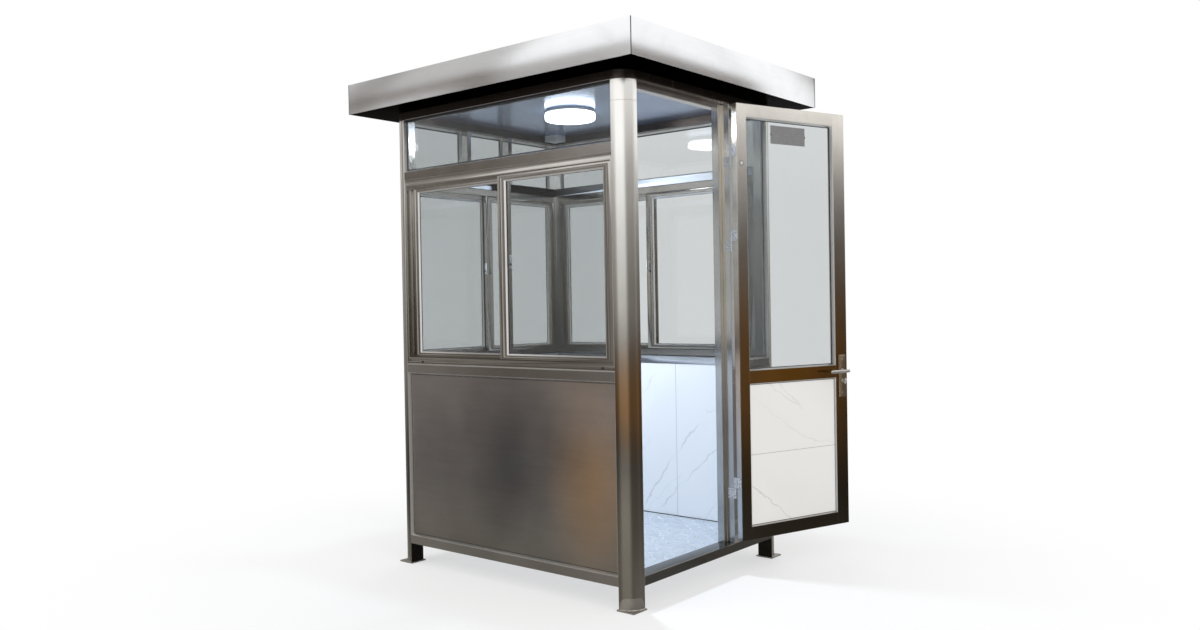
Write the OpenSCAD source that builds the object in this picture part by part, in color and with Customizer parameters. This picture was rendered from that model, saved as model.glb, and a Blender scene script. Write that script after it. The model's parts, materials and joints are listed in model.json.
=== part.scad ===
// Walk-in guard booth: four round-cornered steel posts on foot plates, glazed walls with
// sliding windows, an overhanging box roof and one outward-opening half-glazed door.
// Origin: centre of the four anchor holes, on the ground. The front faces -Y, the door +X.

/* [Booth] */
// Outside width of the booth along X
booth_w = 1500; // [1280:10:2400]
// Outside depth of the booth along Y
booth_d = 1220; // [1120:10:2400]
// Radius of the round corner posts, which is also the thickness of the walls
corner_r = 80; // [66:1:110]
// Height of the base rails' underside above the ground
leg_h = 102; // [40:1:200]
// Height of the base rails
rail_h = 42; // [25:1:80]
// Height of the header ring's underside above the ground
head_z = 2238; // [2140:1:2700]
// Height of the header ring
head_h = 38; // [20:1:80]

/* [Roof] */
// How far the roof runs past the walls on every side
overhang = 155; // [60:1:300]
// Height of the roof fascia
fascia_h = 149; // [90:1:300]
// Thickness of the fascia
fascia_t = 4; // [2:0.5:12]
// Thickness of the soffit sheet and of the roof deck
roof_sheet = 3; // [2:0.5:8]
// How far the roof deck lies below the fascia's top edge
deck_drop = 20; // [5:1:60]
// Thickness of the ceiling panel
ceiling_t = 10; // [4:1:30]

/* [Feet] */
// How far a foot plate runs past its post towards the middle of each wall
plate_margin = 8; // [0:1:40]
// Thickness of the foot plates
plate_t = 6; // [4:1:16]
// How far a foot plate runs past the wall faces
plate_lip = 4; // [0:1:10]
// Radius of the anchor holes
bolt_r = 5.5; // [3:0.5:8]
// Distance of each anchor hole from the foot plate's outer edges
bolt_edge = 10; // [9:1:14]

/* [Floor] */
// Thickness of the tread plate
floor_t = 4; // [3:1:10]
// Width of the bearers under the tread plate
bearer_w = 40; // [20:1:80]
// Number of bearers
bearers = 3; // [1:1:7]

/* [Walls] */
// Height above the ground of the sill rails' underside
sill_z = 968; // [700:1:1100]
// Height of the sill rails
sill_h = 44; // [20:1:80]
// Height above the ground of the transom bars' underside
transom_z = 1934; // [1750:1:2050]
// Height of the transom bars
transom_h = 42; // [20:1:80]
// Thickness of the outer steel panels
panel_t = 3; // [1:0.5:6]
// How far the panels and the fixed glass lie behind the wall faces
recess = 16; // [5:1:25]
// Thickness of the inner lining boards
lining_t = 8; // [3:1:15]
// Thickness of the fixed glass
glass_t = 6; // [4:1:12]
// Width of the upright bars in the left transom
mullion_w = 30; // [20:1:60]
// Distance of those bars from the middle of the wall
mullion_u = 156; // [80:1:170]

/* [Sliding windows] */
// Height of the track at the head and sill of each window
track_h = 33; // [20:1:50]
// Width of the window jambs
track_jamb = 10; // [4:1:40]
// How far the window frames lie behind the wall faces
track_recess = 4; // [0:1:12]
// How far the window frames lie behind the walls' inner faces
track_inner = 10; // [0:1:20]
// Thickness of a sash
sash_t = 24; // [16:1:26]
// Width of the sash stiles
sash_stile = 42; // [25:1:60]
// Height of the sash top rail
sash_top = 24; // [15:1:50]
// Height of the sash bottom rail
sash_bottom = 20; // [15:1:50]
// Width of the track rib that parts the two sashes
rib_t = 4; // [2:1:6]
// Height of that rib
rib_h = 10; // [5:1:14]
// Thickness of the sash glass
sash_glass_t = 5; // [3:1:8]
// Height of the crescent latches above the ground
latch_z = 1500; // [1200:1:1700]

/* [Door] */
// Width of the door leaf
door_w = 705; // [580:1:740]
// Thickness of the door leaf
door_t = 38; // [30:1:45]
// Clearance round the door leaf's edges and inner face
door_gap = 5; // [5:1:8]
// Clearance under the door leaf
door_under = 18; // [6:1:30]
// Width of the hinge stile
hinge_stile = 58; // [40:1:90]
// Width of the lock stile
lock_stile = 78; // [70:1:110]
// Height of the top, middle and bottom rails of the leaf
leaf_rail = 61; // [40:1:100]
// Height of the middle rail's underside above the ground
mid_rail_z = 905; // [750:1:1000]
// How far the glass and panels lie behind the leaf's faces
leaf_recess = 9; // [5:1:12]
// Width of the jamb between the doorway and the side light
jamb_w = 60; // [35:1:70]
// Width of the blank plate on the inner face of the door glass
plate_len = 222; // [100:1:300]
// Height of that plate
plate_high = 88; // [40:1:160]
// Thickness of that plate
plate_thin = 3; // [1:0.5:6]
// Distance of that plate from the hinge stile
plate_side = 168; // [20:1:250]
// Distance of that plate below the top rail
plate_down = 26; // [5:1:200]
// How far the door stop reaches into the doorway
stop_w = 26; // [15:1:40]
// Angle from closed at which the door stands
door_open = 161.9; // [0:0.1:172]

/* [Hinges] */
// Distance of the hinge pins outside the wall face
pin_out = 8; // [8:1:14]
// Radius of the hinge knuckles
knuckle_r = 6.5; // [5:0.5:7]
// Radius of the hinge pins
pin_r = 4; // [2:0.5:4]
// Radial clearance of the pins in their knuckles
pin_fit = 0.05; // [0.02:0.01:0.1]
// Height of a whole hinge
hinge_h = 100; // [60:1:140]
// Gap between the two halves of a hinge
hinge_gap = 0.4; // [0.3:0.1:1]
// How far the hinge leaves reach onto the jamb and the door edge
hinge_leaf = 32; // [20:1:34]
// Height of the lowest hinge's middle above the ground
hinge_low = 409; // [260:1:600]
// Height of the middle hinge's middle above the ground
hinge_mid = 1584; // [1100:1:1700]
// Height of the top hinge's middle above the ground
hinge_top = 1985; // [1800:1:2050]

/* [Lock] */
// Distance of the lever spindle from the door's free edge
backset = 40; // [35:1:45]
// Height of the lever spindle above the ground
lever_z = 938; // [850:1:1050]
// Height of the lock cylinder above the ground
turn_z = 887; // [800:1:1000]
// Width of the lock plates
lock_w = 46; // [36:1:60]
// Height of the lock plates
lock_h = 212; // [160:1:260]
// Thickness of the lock plates
lock_t = 7; // [4:1:12]
// Radius of the square spindle's round neck
neck_r = 8.5; // [6:0.5:10]
// Clearance round the neck and the turn's stem
neck_gap = 0.5; // [0.3:0.1:1.5]
// How far the lever grips stand off the lock plates
neck_l = 46; // [35:1:60]
// Length of the lever grips
grip_l = 122; // [80:1:140]
// Radius of the lever grips
grip_r = 8; // [6:0.5:11]

/* [Ceiling fittings] */
// Radius of the lamp
lamp_r = 127; // [60:1:160]
// Height of the lamp
lamp_h = 47; // [30:1:90]
// Distance of the lamp's middle from the booth's middle, towards the left wall
lamp_left = 43; // [0:1:150]
// Distance of the lamp's middle from the booth's middle, towards the front
lamp_front = 46; // [0:1:150]
// Side of the square junction box in the back left corner
box_w = 86; // [60:1:120]
// Height of the junction box
box_h = 34; // [20:1:60]
// Distance of the junction box from the two walls next to it
box_in = 22; // [0:1:60]

/* [Hidden] */

$fn = 64;
// A small overlap that lets cutting shapes run past the faces they cut
cut = 1;

// Sides, counted anticlockwise from the front
FRONT = 0;
RIGHT = 1;
BACK = 2;
LEFT = 3;

wall_t = corner_r;
plate_w = corner_r + plate_lip + plate_margin;
floor_z = leg_h + rail_h;
panel_top = sill_z;
window_z0 = sill_z + sill_h;
window_z1 = transom_z;
transom_top = transom_z + transom_h;
roof_z = head_z + head_h;
roof_top = roof_z + fascia_h;

// Sliding windows, measured from the wall face
track_d = wall_t - track_recess - track_inner;
sash_z0 = window_z0 + track_h;
sash_z1 = window_z1 - track_h;
track_margin = (track_d - 2 * sash_t - rib_t) / 2;
outer_sash_d = track_recess + track_margin;
rib_d = outer_sash_d + sash_t;
inner_sash_d = rib_d + rib_t;

// Doorway, along the right wall
wall_half = booth_d / 2 - corner_r;
leaf_u0 = -wall_half + door_gap;
leaf_u1 = leaf_u0 + door_w;
jamb_u0 = leaf_u1 + door_gap;
jamb_u1 = jamb_u0 + jamb_w;
stop_d = door_t + door_gap;
leaf_z0 = floor_z + door_under;
leaf_z1 = head_z - door_gap;
leaf_field_u0 = leaf_u0 + lock_stile;
leaf_field_u1 = leaf_u1 - hinge_stile;
leaf_panel_z0 = leaf_z0 + leaf_rail;
leaf_glass_z0 = mid_rail_z + leaf_rail;
leaf_glass_z1 = leaf_z1 - leaf_rail;
hinges = [hinge_low, hinge_mid, hinge_top];
lock_u = leaf_u0 + backset;
lock_z0 = (lever_z + turn_z - lock_h) / 2;
// The strike side's stop ends short of the lock plates by a little more than the door's gap
strike_w = backset - lock_w / 2 - 1;
pin_u = (leaf_u1 + jamb_u0) / 2;
pin = [booth_w / 2 + pin_out, pin_u, 0];

anchor_x = booth_w / 2 + plate_lip - bolt_edge;
anchor_y = booth_d / 2 + plate_lip - bolt_edge;
corners = [[-1, -1], [1, -1], [1, 1], [-1, 1]];

steel = [0.72, 0.71, 0.69];
dark_steel = [0.36, 0.34, 0.32];
white = [0.93, 0.93, 0.92];
glass = [0.55, 0.62, 0.64, 0.4];

// Length of a wall between its two corner posts
function wall_len(side) = (side % 2 == 0 ? booth_w : booth_d) - 2 * corner_r;
// Distance of a wall's outer face from the booth's middle
function wall_off(side) = (side % 2 == 0 ? booth_d : booth_w) / 2;

// Places shapes drawn with X along the wall, Y from its outer face inwards and Z up
module at_wall(side) {
    rotate([0, 0, 90 * side])
        translate([0, -wall_off(side), 0])
            children();
}

// A box given by its two ends along the wall, through the wall and up
module slab(u0, u1, d0, d1, z0, z1) {
    translate([u0, d0, z0])
        cube([u1 - u0, d1 - d0, z1 - z0]);
}

// A slab over the whole length of a wall
module wall_slab(side, d0, d1, z0, z1) {
    at_wall(side)
        slab(-wall_len(side) / 2, wall_len(side) / 2, d0, d1, z0, z1);
}

// Places shapes of the closed door where the open door carries them
module on_door() {
    translate(pin)
        rotate([0, 0, door_open])
            translate(-pin)
                at_wall(RIGHT)
                    children();
}

// ---- Frame ----

// One corner post: a quarter round whose flat sides meet the two walls
module post(corner) {
    color(steel)
        translate([corner[0] * (booth_w / 2 - corner_r), corner[1] * (booth_d / 2 - corner_r), plate_t])
            intersection() {
                cylinder(r = corner_r, h = head_z - plate_t);
                translate([corner[0] > 0 ? 0 : -corner_r, corner[1] > 0 ? 0 : -corner_r, 0])
                    cube([corner_r, corner_r, head_z - plate_t]);
            }
}

module foot_plates() {
    color(steel)
        for (c = corners)
            difference() {
                translate([
                    c[0] * (booth_w / 2 + plate_lip - plate_w / 2) - plate_w / 2,
                    c[1] * (booth_d / 2 + plate_lip - plate_w / 2) - plate_w / 2,
                    0
                ])
                    cube([plate_w, plate_w, plate_t]);
                translate([c[0] * anchor_x, c[1] * anchor_y, -cut])
                    cylinder(r = bolt_r, h = plate_t + 2 * cut);
            }
}

module base_rails() {
    color(steel)
        for (side = [FRONT, RIGHT, BACK, LEFT])
            wall_slab(side, 0, wall_t, leg_h, floor_z);
}

module sill_rails() {
    color(steel) {
        for (side = [FRONT, BACK, LEFT])
            wall_slab(side, 0, wall_t, sill_z, window_z0);
        at_wall(RIGHT)
            slab(jamb_u1, wall_half, 0, wall_t, sill_z, window_z0);
    }
}

module transom_bars() {
    color(steel)
        for (side = [FRONT, BACK, LEFT])
            wall_slab(side, 0, wall_t, transom_z, transom_top);
}

module left_mullions() {
    color(steel)
        at_wall(LEFT)
            for (u = [-mullion_u, mullion_u])
                slab(u - mullion_w / 2, u + mullion_w / 2, 0, wall_t, transom_top, head_z);
}

// The ring on top of the posts, rounded to their radius
module header_ring() {
    color(dark_steel)
        difference() {
            union() {
                translate([-booth_w / 2 + corner_r, -booth_d / 2, head_z])
                    cube([booth_w - 2 * corner_r, booth_d, head_h]);
                translate([-booth_w / 2, -booth_d / 2 + corner_r, head_z])
                    cube([booth_w, booth_d - 2 * corner_r, head_h]);
                for (c = corners)
                    translate([c[0] * (booth_w / 2 - corner_r), c[1] * (booth_d / 2 - corner_r), head_z])
                        cylinder(r = corner_r, h = head_h);
            }
            translate([-booth_w / 2 + wall_t, -booth_d / 2 + wall_t, head_z - cut])
                cube([booth_w - 2 * wall_t, booth_d - 2 * wall_t, head_h + 2 * cut]);
        }
}

// ---- Floor ----

module floor_bearers() {
    pitch = (booth_w - 2 * wall_t) / (bearers + 1);
    color(steel)
        for (i = [1:bearers])
            translate([-booth_w / 2 + wall_t + i * pitch - bearer_w / 2, -booth_d / 2 + wall_t, leg_h])
                cube([bearer_w, booth_d - 2 * wall_t, rail_h - floor_t]);
}

module floor_plate() {
    color(white)
        translate([-booth_w / 2 + wall_t, -booth_d / 2 + wall_t, floor_z - floor_t])
            cube([booth_w - 2 * wall_t, booth_d - 2 * wall_t, floor_t]);
}

// ---- Lower walls ----

module wall_panel(side) {
    color(steel)
        wall_slab(side, recess, recess + panel_t, floor_z, panel_top);
}

module wall_lining(side) {
    color(white)
        wall_slab(side, wall_t - lining_t, wall_t, floor_z, panel_top);
}

module side_light_panel() {
    color(steel)
        at_wall(RIGHT)
            slab(jamb_u1, wall_half, recess, recess + panel_t, floor_z, panel_top);
}

module side_light_lining() {
    color(white)
        at_wall(RIGHT)
            slab(jamb_u1, wall_half, wall_t - lining_t, wall_t, floor_z, panel_top);
}

// ---- Fixed glass ----

module transom_glass() {
    color(glass) {
        for (side = [FRONT, BACK])
            wall_slab(side, recess, recess + glass_t, transom_top, head_z);
        at_wall(LEFT) {
            reach = wall_len(LEFT) / 2;
            slab(-reach, -mullion_u - mullion_w / 2, recess, recess + glass_t, transom_top, head_z);
            slab(-mullion_u + mullion_w / 2, mullion_u - mullion_w / 2,
                recess, recess + glass_t, transom_top, head_z);
            slab(mullion_u + mullion_w / 2, reach, recess, recess + glass_t, transom_top, head_z);
        }
    }
}

module side_light_glass() {
    color(glass)
        at_wall(RIGHT)
            slab(jamb_u1, wall_half, recess, recess + glass_t, window_z0, head_z);
}

// ---- Sliding windows ----

// The fixed frame of one window, with a rib between its two tracks
module window_frame(side) {
    reach = wall_len(side) / 2;
    color(steel)
        at_wall(side) {
            difference() {
                slab(-reach, reach, track_recess, track_recess + track_d, window_z0, window_z1);
                slab(-reach + track_jamb, reach - track_jamb,
                    track_recess - cut, track_recess + track_d + cut, sash_z0, sash_z1);
            }
            slab(-reach + track_jamb, reach - track_jamb, rib_d, rib_d + rib_t, sash_z0, sash_z0 + rib_h);
            slab(-reach + track_jamb, reach - track_jamb, rib_d, rib_d + rib_t, sash_z1 - rib_h, sash_z1);
        }
}

// One sash between two places along the wall, with its hole for the glass
module sash(u0, u1, d) {
    difference() {
        slab(u0, u1, d, d + sash_t, sash_z0, sash_z1);
        slab(u0 + sash_stile, u1 - sash_stile, d - cut, d + sash_t + cut,
            sash_z0 + sash_bottom, sash_z1 - sash_top);
    }
}

module window_sashes(side) {
    reach = wall_len(side) / 2 - track_jamb;
    color(steel)
        at_wall(side) {
            sash(-sash_stile / 2, reach, outer_sash_d);
            sash(-reach, sash_stile / 2, inner_sash_d);
        }
}

// The glass of one sash, in the middle of the sash's thickness
module sash_pane(u0, u1, d) {
    slab(u0 + sash_stile, u1 - sash_stile,
        d + (sash_t - sash_glass_t) / 2, d + (sash_t + sash_glass_t) / 2,
        sash_z0 + sash_bottom, sash_z1 - sash_top);
}

module sash_glass() {
    color(glass)
        for (side = [FRONT, BACK, LEFT])
            at_wall(side) {
                reach = wall_len(side) / 2 - track_jamb;
                sash_pane(-sash_stile / 2, reach, outer_sash_d);
                sash_pane(-reach, sash_stile / 2, inner_sash_d);
            }
}

// A small hook latch on the inner face of each inner sash's meeting stile
module window_latches() {
    latch_w = 16;
    latch_h = 62;
    latch_d = 9;
    color(dark_steel)
        for (side = [FRONT, BACK, LEFT])
            at_wall(side)
                slab(-latch_w / 2, latch_w / 2, inner_sash_d + sash_t, inner_sash_d + sash_t + latch_d,
                    latch_z - latch_h / 2, latch_z + latch_h / 2);
}

// ---- Doorway ----

module strike_jamb() {
    color(steel)
        at_wall(RIGHT)
            slab(-wall_half, -wall_half + strike_w, stop_d, wall_t, floor_z, head_z);
}

module hinge_jamb() {
    color(steel)
        at_wall(RIGHT) {
            slab(jamb_u0, jamb_u1, 0, wall_t, floor_z, head_z);
            slab(jamb_u0 - stop_w, jamb_u0, stop_d, wall_t, floor_z, head_z);
        }
}

module door_head() {
    color(steel)
        at_wall(RIGHT)
            slab(-wall_half + strike_w, jamb_u0 - stop_w, stop_d, wall_t, head_z - stop_w, head_z);
}

// ---- Roof ----

// A box over the whole roof, or drawn in from its edges by a margin
module roof_box(margin, z0, z1) {
    translate([-booth_w / 2 - overhang + margin, -booth_d / 2 - overhang + margin, z0])
        cube([booth_w + 2 * (overhang - margin), booth_d + 2 * (overhang - margin), z1 - z0]);
}

// The soffit sheet outside and the ceiling panel inside meet over the middle of the header ring
module ceiling_slab(z0, z1) {
    translate([-booth_w / 2 + wall_t / 2, -booth_d / 2 + wall_t / 2, z0])
        cube([booth_w - wall_t, booth_d - wall_t, z1 - z0]);
}

module soffit() {
    color(dark_steel)
        difference() {
            roof_box(fascia_t, roof_z, roof_z + roof_sheet);
            ceiling_slab(roof_z - cut, roof_z + roof_sheet + cut);
        }
}

module fascia() {
    color(steel)
        difference() {
            roof_box(0, roof_z, roof_top);
            roof_box(fascia_t, roof_z - cut, roof_top + cut);
        }
}

module roof_deck() {
    color(steel)
        roof_box(fascia_t, roof_top - deck_drop - roof_sheet, roof_top - deck_drop);
}

module ceiling() {
    color(white)
        ceiling_slab(roof_z, roof_z + ceiling_t);
}

module ceiling_lamp() {
    color(white)
        translate([-lamp_left, -lamp_front, roof_z - lamp_h])
            cylinder(r = lamp_r, h = lamp_h);
}

module junction_box() {
    color(white)
        translate([-booth_w / 2 + wall_t + box_in, booth_d / 2 - wall_t - box_in - box_w, roof_z - box_h])
            cube([box_w, box_w, box_h]);
}

// ---- Hinges ----

// The lower halves: a leaf on the jamb, a knuckle and the pin that stands up from it
module hinge_jamb_leaves() {
    color(steel)
        at_wall(RIGHT)
            for (z = hinges) {
                slab(pin_u, jamb_u0, -pin_out, hinge_leaf, z - hinge_h / 2, z - hinge_gap / 2);
                translate([pin_u, -pin_out, z - hinge_h / 2])
                    cylinder(r = knuckle_r, h = (hinge_h - hinge_gap) / 2);
                translate([pin_u, -pin_out, z - hinge_h / 2])
                    cylinder(r = pin_r, h = hinge_h);
            }
}

// The upper halves: a leaf on the door's edge and a knuckle bored for the pin
module hinge_door_leaves() {
    color(steel)
        on_door()
            for (z = hinges)
                difference() {
                    union() {
                        slab(leaf_u1, pin_u, -pin_out, hinge_leaf, z + hinge_gap / 2, z + hinge_h / 2);
                        translate([pin_u, -pin_out, z + hinge_gap / 2])
                            cylinder(r = knuckle_r, h = (hinge_h - hinge_gap) / 2);
                    }
                    translate([pin_u, -pin_out, z - cut])
                        cylinder(r = pin_r + pin_fit, h = hinge_h / 2 + 2 * cut);
                }
}

// ---- Door ----

module door_frame() {
    color(steel)
        on_door()
            difference() {
                slab(leaf_u0, leaf_u1, 0, door_t, leaf_z0, leaf_z1);
                slab(leaf_field_u0, leaf_field_u1, -cut, door_t + cut, leaf_glass_z0, leaf_glass_z1);
                slab(leaf_field_u0, leaf_field_u1, -cut, door_t + cut, leaf_panel_z0, mid_rail_z);
                for (z = [lever_z, turn_z])
                    translate([lock_u, -cut, z])
                        rotate([-90, 0, 0])
                            cylinder(r = neck_r + neck_gap, h = door_t + 2 * cut);
            }
}

module door_glass() {
    color(glass)
        on_door()
            slab(leaf_field_u0, leaf_field_u1, (door_t - glass_t) / 2, (door_t + glass_t) / 2,
                leaf_glass_z0, leaf_glass_z1);
}

// A blank plate on the inside of the glass
module glass_plate() {
    plate_u = leaf_field_u1 - plate_side;
    plate_top = leaf_glass_z1 - plate_down;
    plate_d = (door_t + glass_t) / 2;
    color(steel)
        on_door()
            slab(plate_u - plate_len, plate_u, plate_d, plate_d + plate_thin,
                plate_top - plate_high, plate_top);
}

module door_panel() {
    color(steel)
        on_door()
            slab(leaf_field_u0, leaf_field_u1, leaf_recess, leaf_recess + panel_t,
                leaf_panel_z0, mid_rail_z);
}

module door_lining() {
    color(white)
        on_door()
            slab(leaf_field_u0, leaf_field_u1, door_t - leaf_recess - lining_t, door_t - leaf_recess,
                leaf_panel_z0, mid_rail_z);
}

module lock_plates() {
    color(steel)
        on_door()
            for (d = [-lock_t, door_t])
                difference() {
                    slab(lock_u - lock_w / 2, lock_u + lock_w / 2, d, d + lock_t, lock_z0, lock_z0 + lock_h);
                    for (z = [lever_z, turn_z])
                        translate([lock_u, d - cut, z])
                            rotate([-90, 0, 0])
                                cylinder(r = neck_r + neck_gap, h = lock_t + 2 * cut);
                }
}

// A grip that runs from the spindle towards the hinges
module lever_grip(d) {
    translate([lock_u, d, lever_z]) {
        sphere(r = grip_r);
        rotate([0, 90, 0])
            cylinder(r = grip_r, h = grip_l - grip_r);
        translate([grip_l - grip_r, 0, 0])
            sphere(r = grip_r);
    }
}

// Both lever grips on their common spindle
module lever_handle() {
    color(steel)
        on_door() {
            translate([lock_u, -lock_t - neck_l, lever_z])
                rotate([-90, 0, 0])
                    cylinder(r = neck_r, h = door_t + 2 * (lock_t + neck_l));
            lever_grip(-lock_t - neck_l);
            lever_grip(door_t + lock_t + neck_l);
        }
}

// The thumb turn inside, on the stem of the lock cylinder that shows outside
module thumb_turn() {
    knob_r = 15;
    knob_t = 10;
    knob_d = door_t + lock_t + 1 + knob_r;
    cap_out = 3;
    color(steel)
        on_door() {
            translate([lock_u, -lock_t - cap_out, turn_z])
                rotate([-90, 0, 0])
                    cylinder(r = neck_r, h = knob_d + lock_t + cap_out);
            translate([lock_u - knob_t / 2, knob_d, turn_z])
                rotate([0, 90, 0])
                    cylinder(r = knob_r, h = knob_t);
        }
}

post(corners[0]);  // post_front_left
post(corners[1]);  // post_front_right
post(corners[2]);  // post_back_right
post(corners[3]);  // post_back_left
foot_plates();
base_rails();
floor_bearers();
floor_plate();
wall_panel(FRONT);  // front_panel
wall_panel(BACK);  // back_panel
wall_panel(LEFT);  // left_panel
side_light_panel();
wall_lining(FRONT);  // front_lining
wall_lining(BACK);  // back_lining
wall_lining(LEFT);  // left_lining
side_light_lining();
sill_rails();
transom_bars();
left_mullions();
transom_glass();
side_light_glass();
window_frame(FRONT);  // front_window_frame
window_frame(BACK);  // back_window_frame
window_frame(LEFT);  // left_window_frame
window_sashes(FRONT);  // front_sashes
window_sashes(BACK);  // back_sashes
window_sashes(LEFT);  // left_sashes
sash_glass();
window_latches();
strike_jamb();
hinge_jamb();
door_head();
header_ring();
ceiling();
soffit();
fascia();
roof_deck();
ceiling_lamp();
junction_box();
hinge_jamb_leaves();
door_frame();
door_glass();
glass_plate();
door_panel();
door_lining();
hinge_door_leaves();
lock_plates();
lever_handle();
thumb_turn();
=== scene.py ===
"""Finishes, glazing, fittings and studio for a walk-in guard booth.

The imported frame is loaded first, each sub-assembly is dressed in turn, and the camera and
soft light are set last. Lengths are in metres.
"""

import json
import logging
import math
from dataclasses import dataclass, replace
from enum import Enum
from functools import partial, reduce
from typing import Callable, Iterable, Sequence

import bmesh
import bpy
import numpy as np
from mathutils import Matrix, Vector

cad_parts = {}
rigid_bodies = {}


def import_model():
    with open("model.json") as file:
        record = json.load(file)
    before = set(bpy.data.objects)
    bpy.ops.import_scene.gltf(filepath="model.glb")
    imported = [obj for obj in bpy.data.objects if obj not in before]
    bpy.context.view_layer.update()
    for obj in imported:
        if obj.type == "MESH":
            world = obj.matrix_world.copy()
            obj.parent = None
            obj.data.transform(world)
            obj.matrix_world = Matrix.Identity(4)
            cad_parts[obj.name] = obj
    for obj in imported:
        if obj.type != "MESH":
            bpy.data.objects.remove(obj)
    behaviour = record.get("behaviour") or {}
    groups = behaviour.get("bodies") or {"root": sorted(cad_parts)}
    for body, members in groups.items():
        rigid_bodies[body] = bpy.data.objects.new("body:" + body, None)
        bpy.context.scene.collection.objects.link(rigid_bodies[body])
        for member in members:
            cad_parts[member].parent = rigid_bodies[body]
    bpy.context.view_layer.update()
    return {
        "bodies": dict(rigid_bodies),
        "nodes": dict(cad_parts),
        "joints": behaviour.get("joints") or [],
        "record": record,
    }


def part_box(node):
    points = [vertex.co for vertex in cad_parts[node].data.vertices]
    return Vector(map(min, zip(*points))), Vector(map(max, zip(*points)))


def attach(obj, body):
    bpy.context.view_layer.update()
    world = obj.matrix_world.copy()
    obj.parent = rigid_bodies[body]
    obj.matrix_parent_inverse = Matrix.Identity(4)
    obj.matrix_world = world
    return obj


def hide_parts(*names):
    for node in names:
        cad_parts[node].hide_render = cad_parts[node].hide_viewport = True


LOG = logging.getLogger("booth")
MM = 0.001

Piece = bpy.types.Object
Socket = bpy.types.NodeSocket
Tree = bpy.types.NodeTree
Colour = tuple[float, float, float]
Profile = Sequence[tuple[float, float]]
WHITE: Colour = (1.0, 1.0, 1.0)


class Side(Enum):
    """A wall of the booth, counted anticlockwise from the front."""

    FRONT = 0
    RIGHT = 1
    BACK = 2
    LEFT = 3

    @property
    def label(self) -> str:
        """The wall's name in the names of CAD nodes."""
        return self.name.lower()

    def choose(self, along_x: "Finish", along_y: "Finish") -> "Finish":
        """Returns the finish whose grain runs along this wall."""
        return along_y if self.value % 2 else along_x


WINDOWED = (Side.FRONT, Side.BACK, Side.LEFT)
"""The walls with a sliding window."""


class Along(Enum):
    """The direction that a grain or a spindle follows on a wall's own axes."""

    U = Vector((1, 0, 0))
    D = Vector((0, 1, 0))
    Z = Vector((0, 0, 1))


class Body(Enum):
    """A body of the record that pieces ride on."""

    ROOT = "root"
    DOOR = "door"
    LEVER = "lever"
    TURN = "turn"


class Slot(Enum):
    """A material slot of the record."""

    POSTS = "posts"
    FRAME = "frame_steel"
    PANEL = "panel_steel"
    FASCIA = "fascia_steel"
    TREAD = "tread_plate"
    LINING = "lining"
    WINDOW = "window_steel"
    BRIGHT = "bright_steel"
    DARK = "dark_metal"
    LAMP = "lamp_white"
    PLASTIC = "white_plastic"
    GALVANISED = "galvanised"


# ---- Shader building ----


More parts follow.
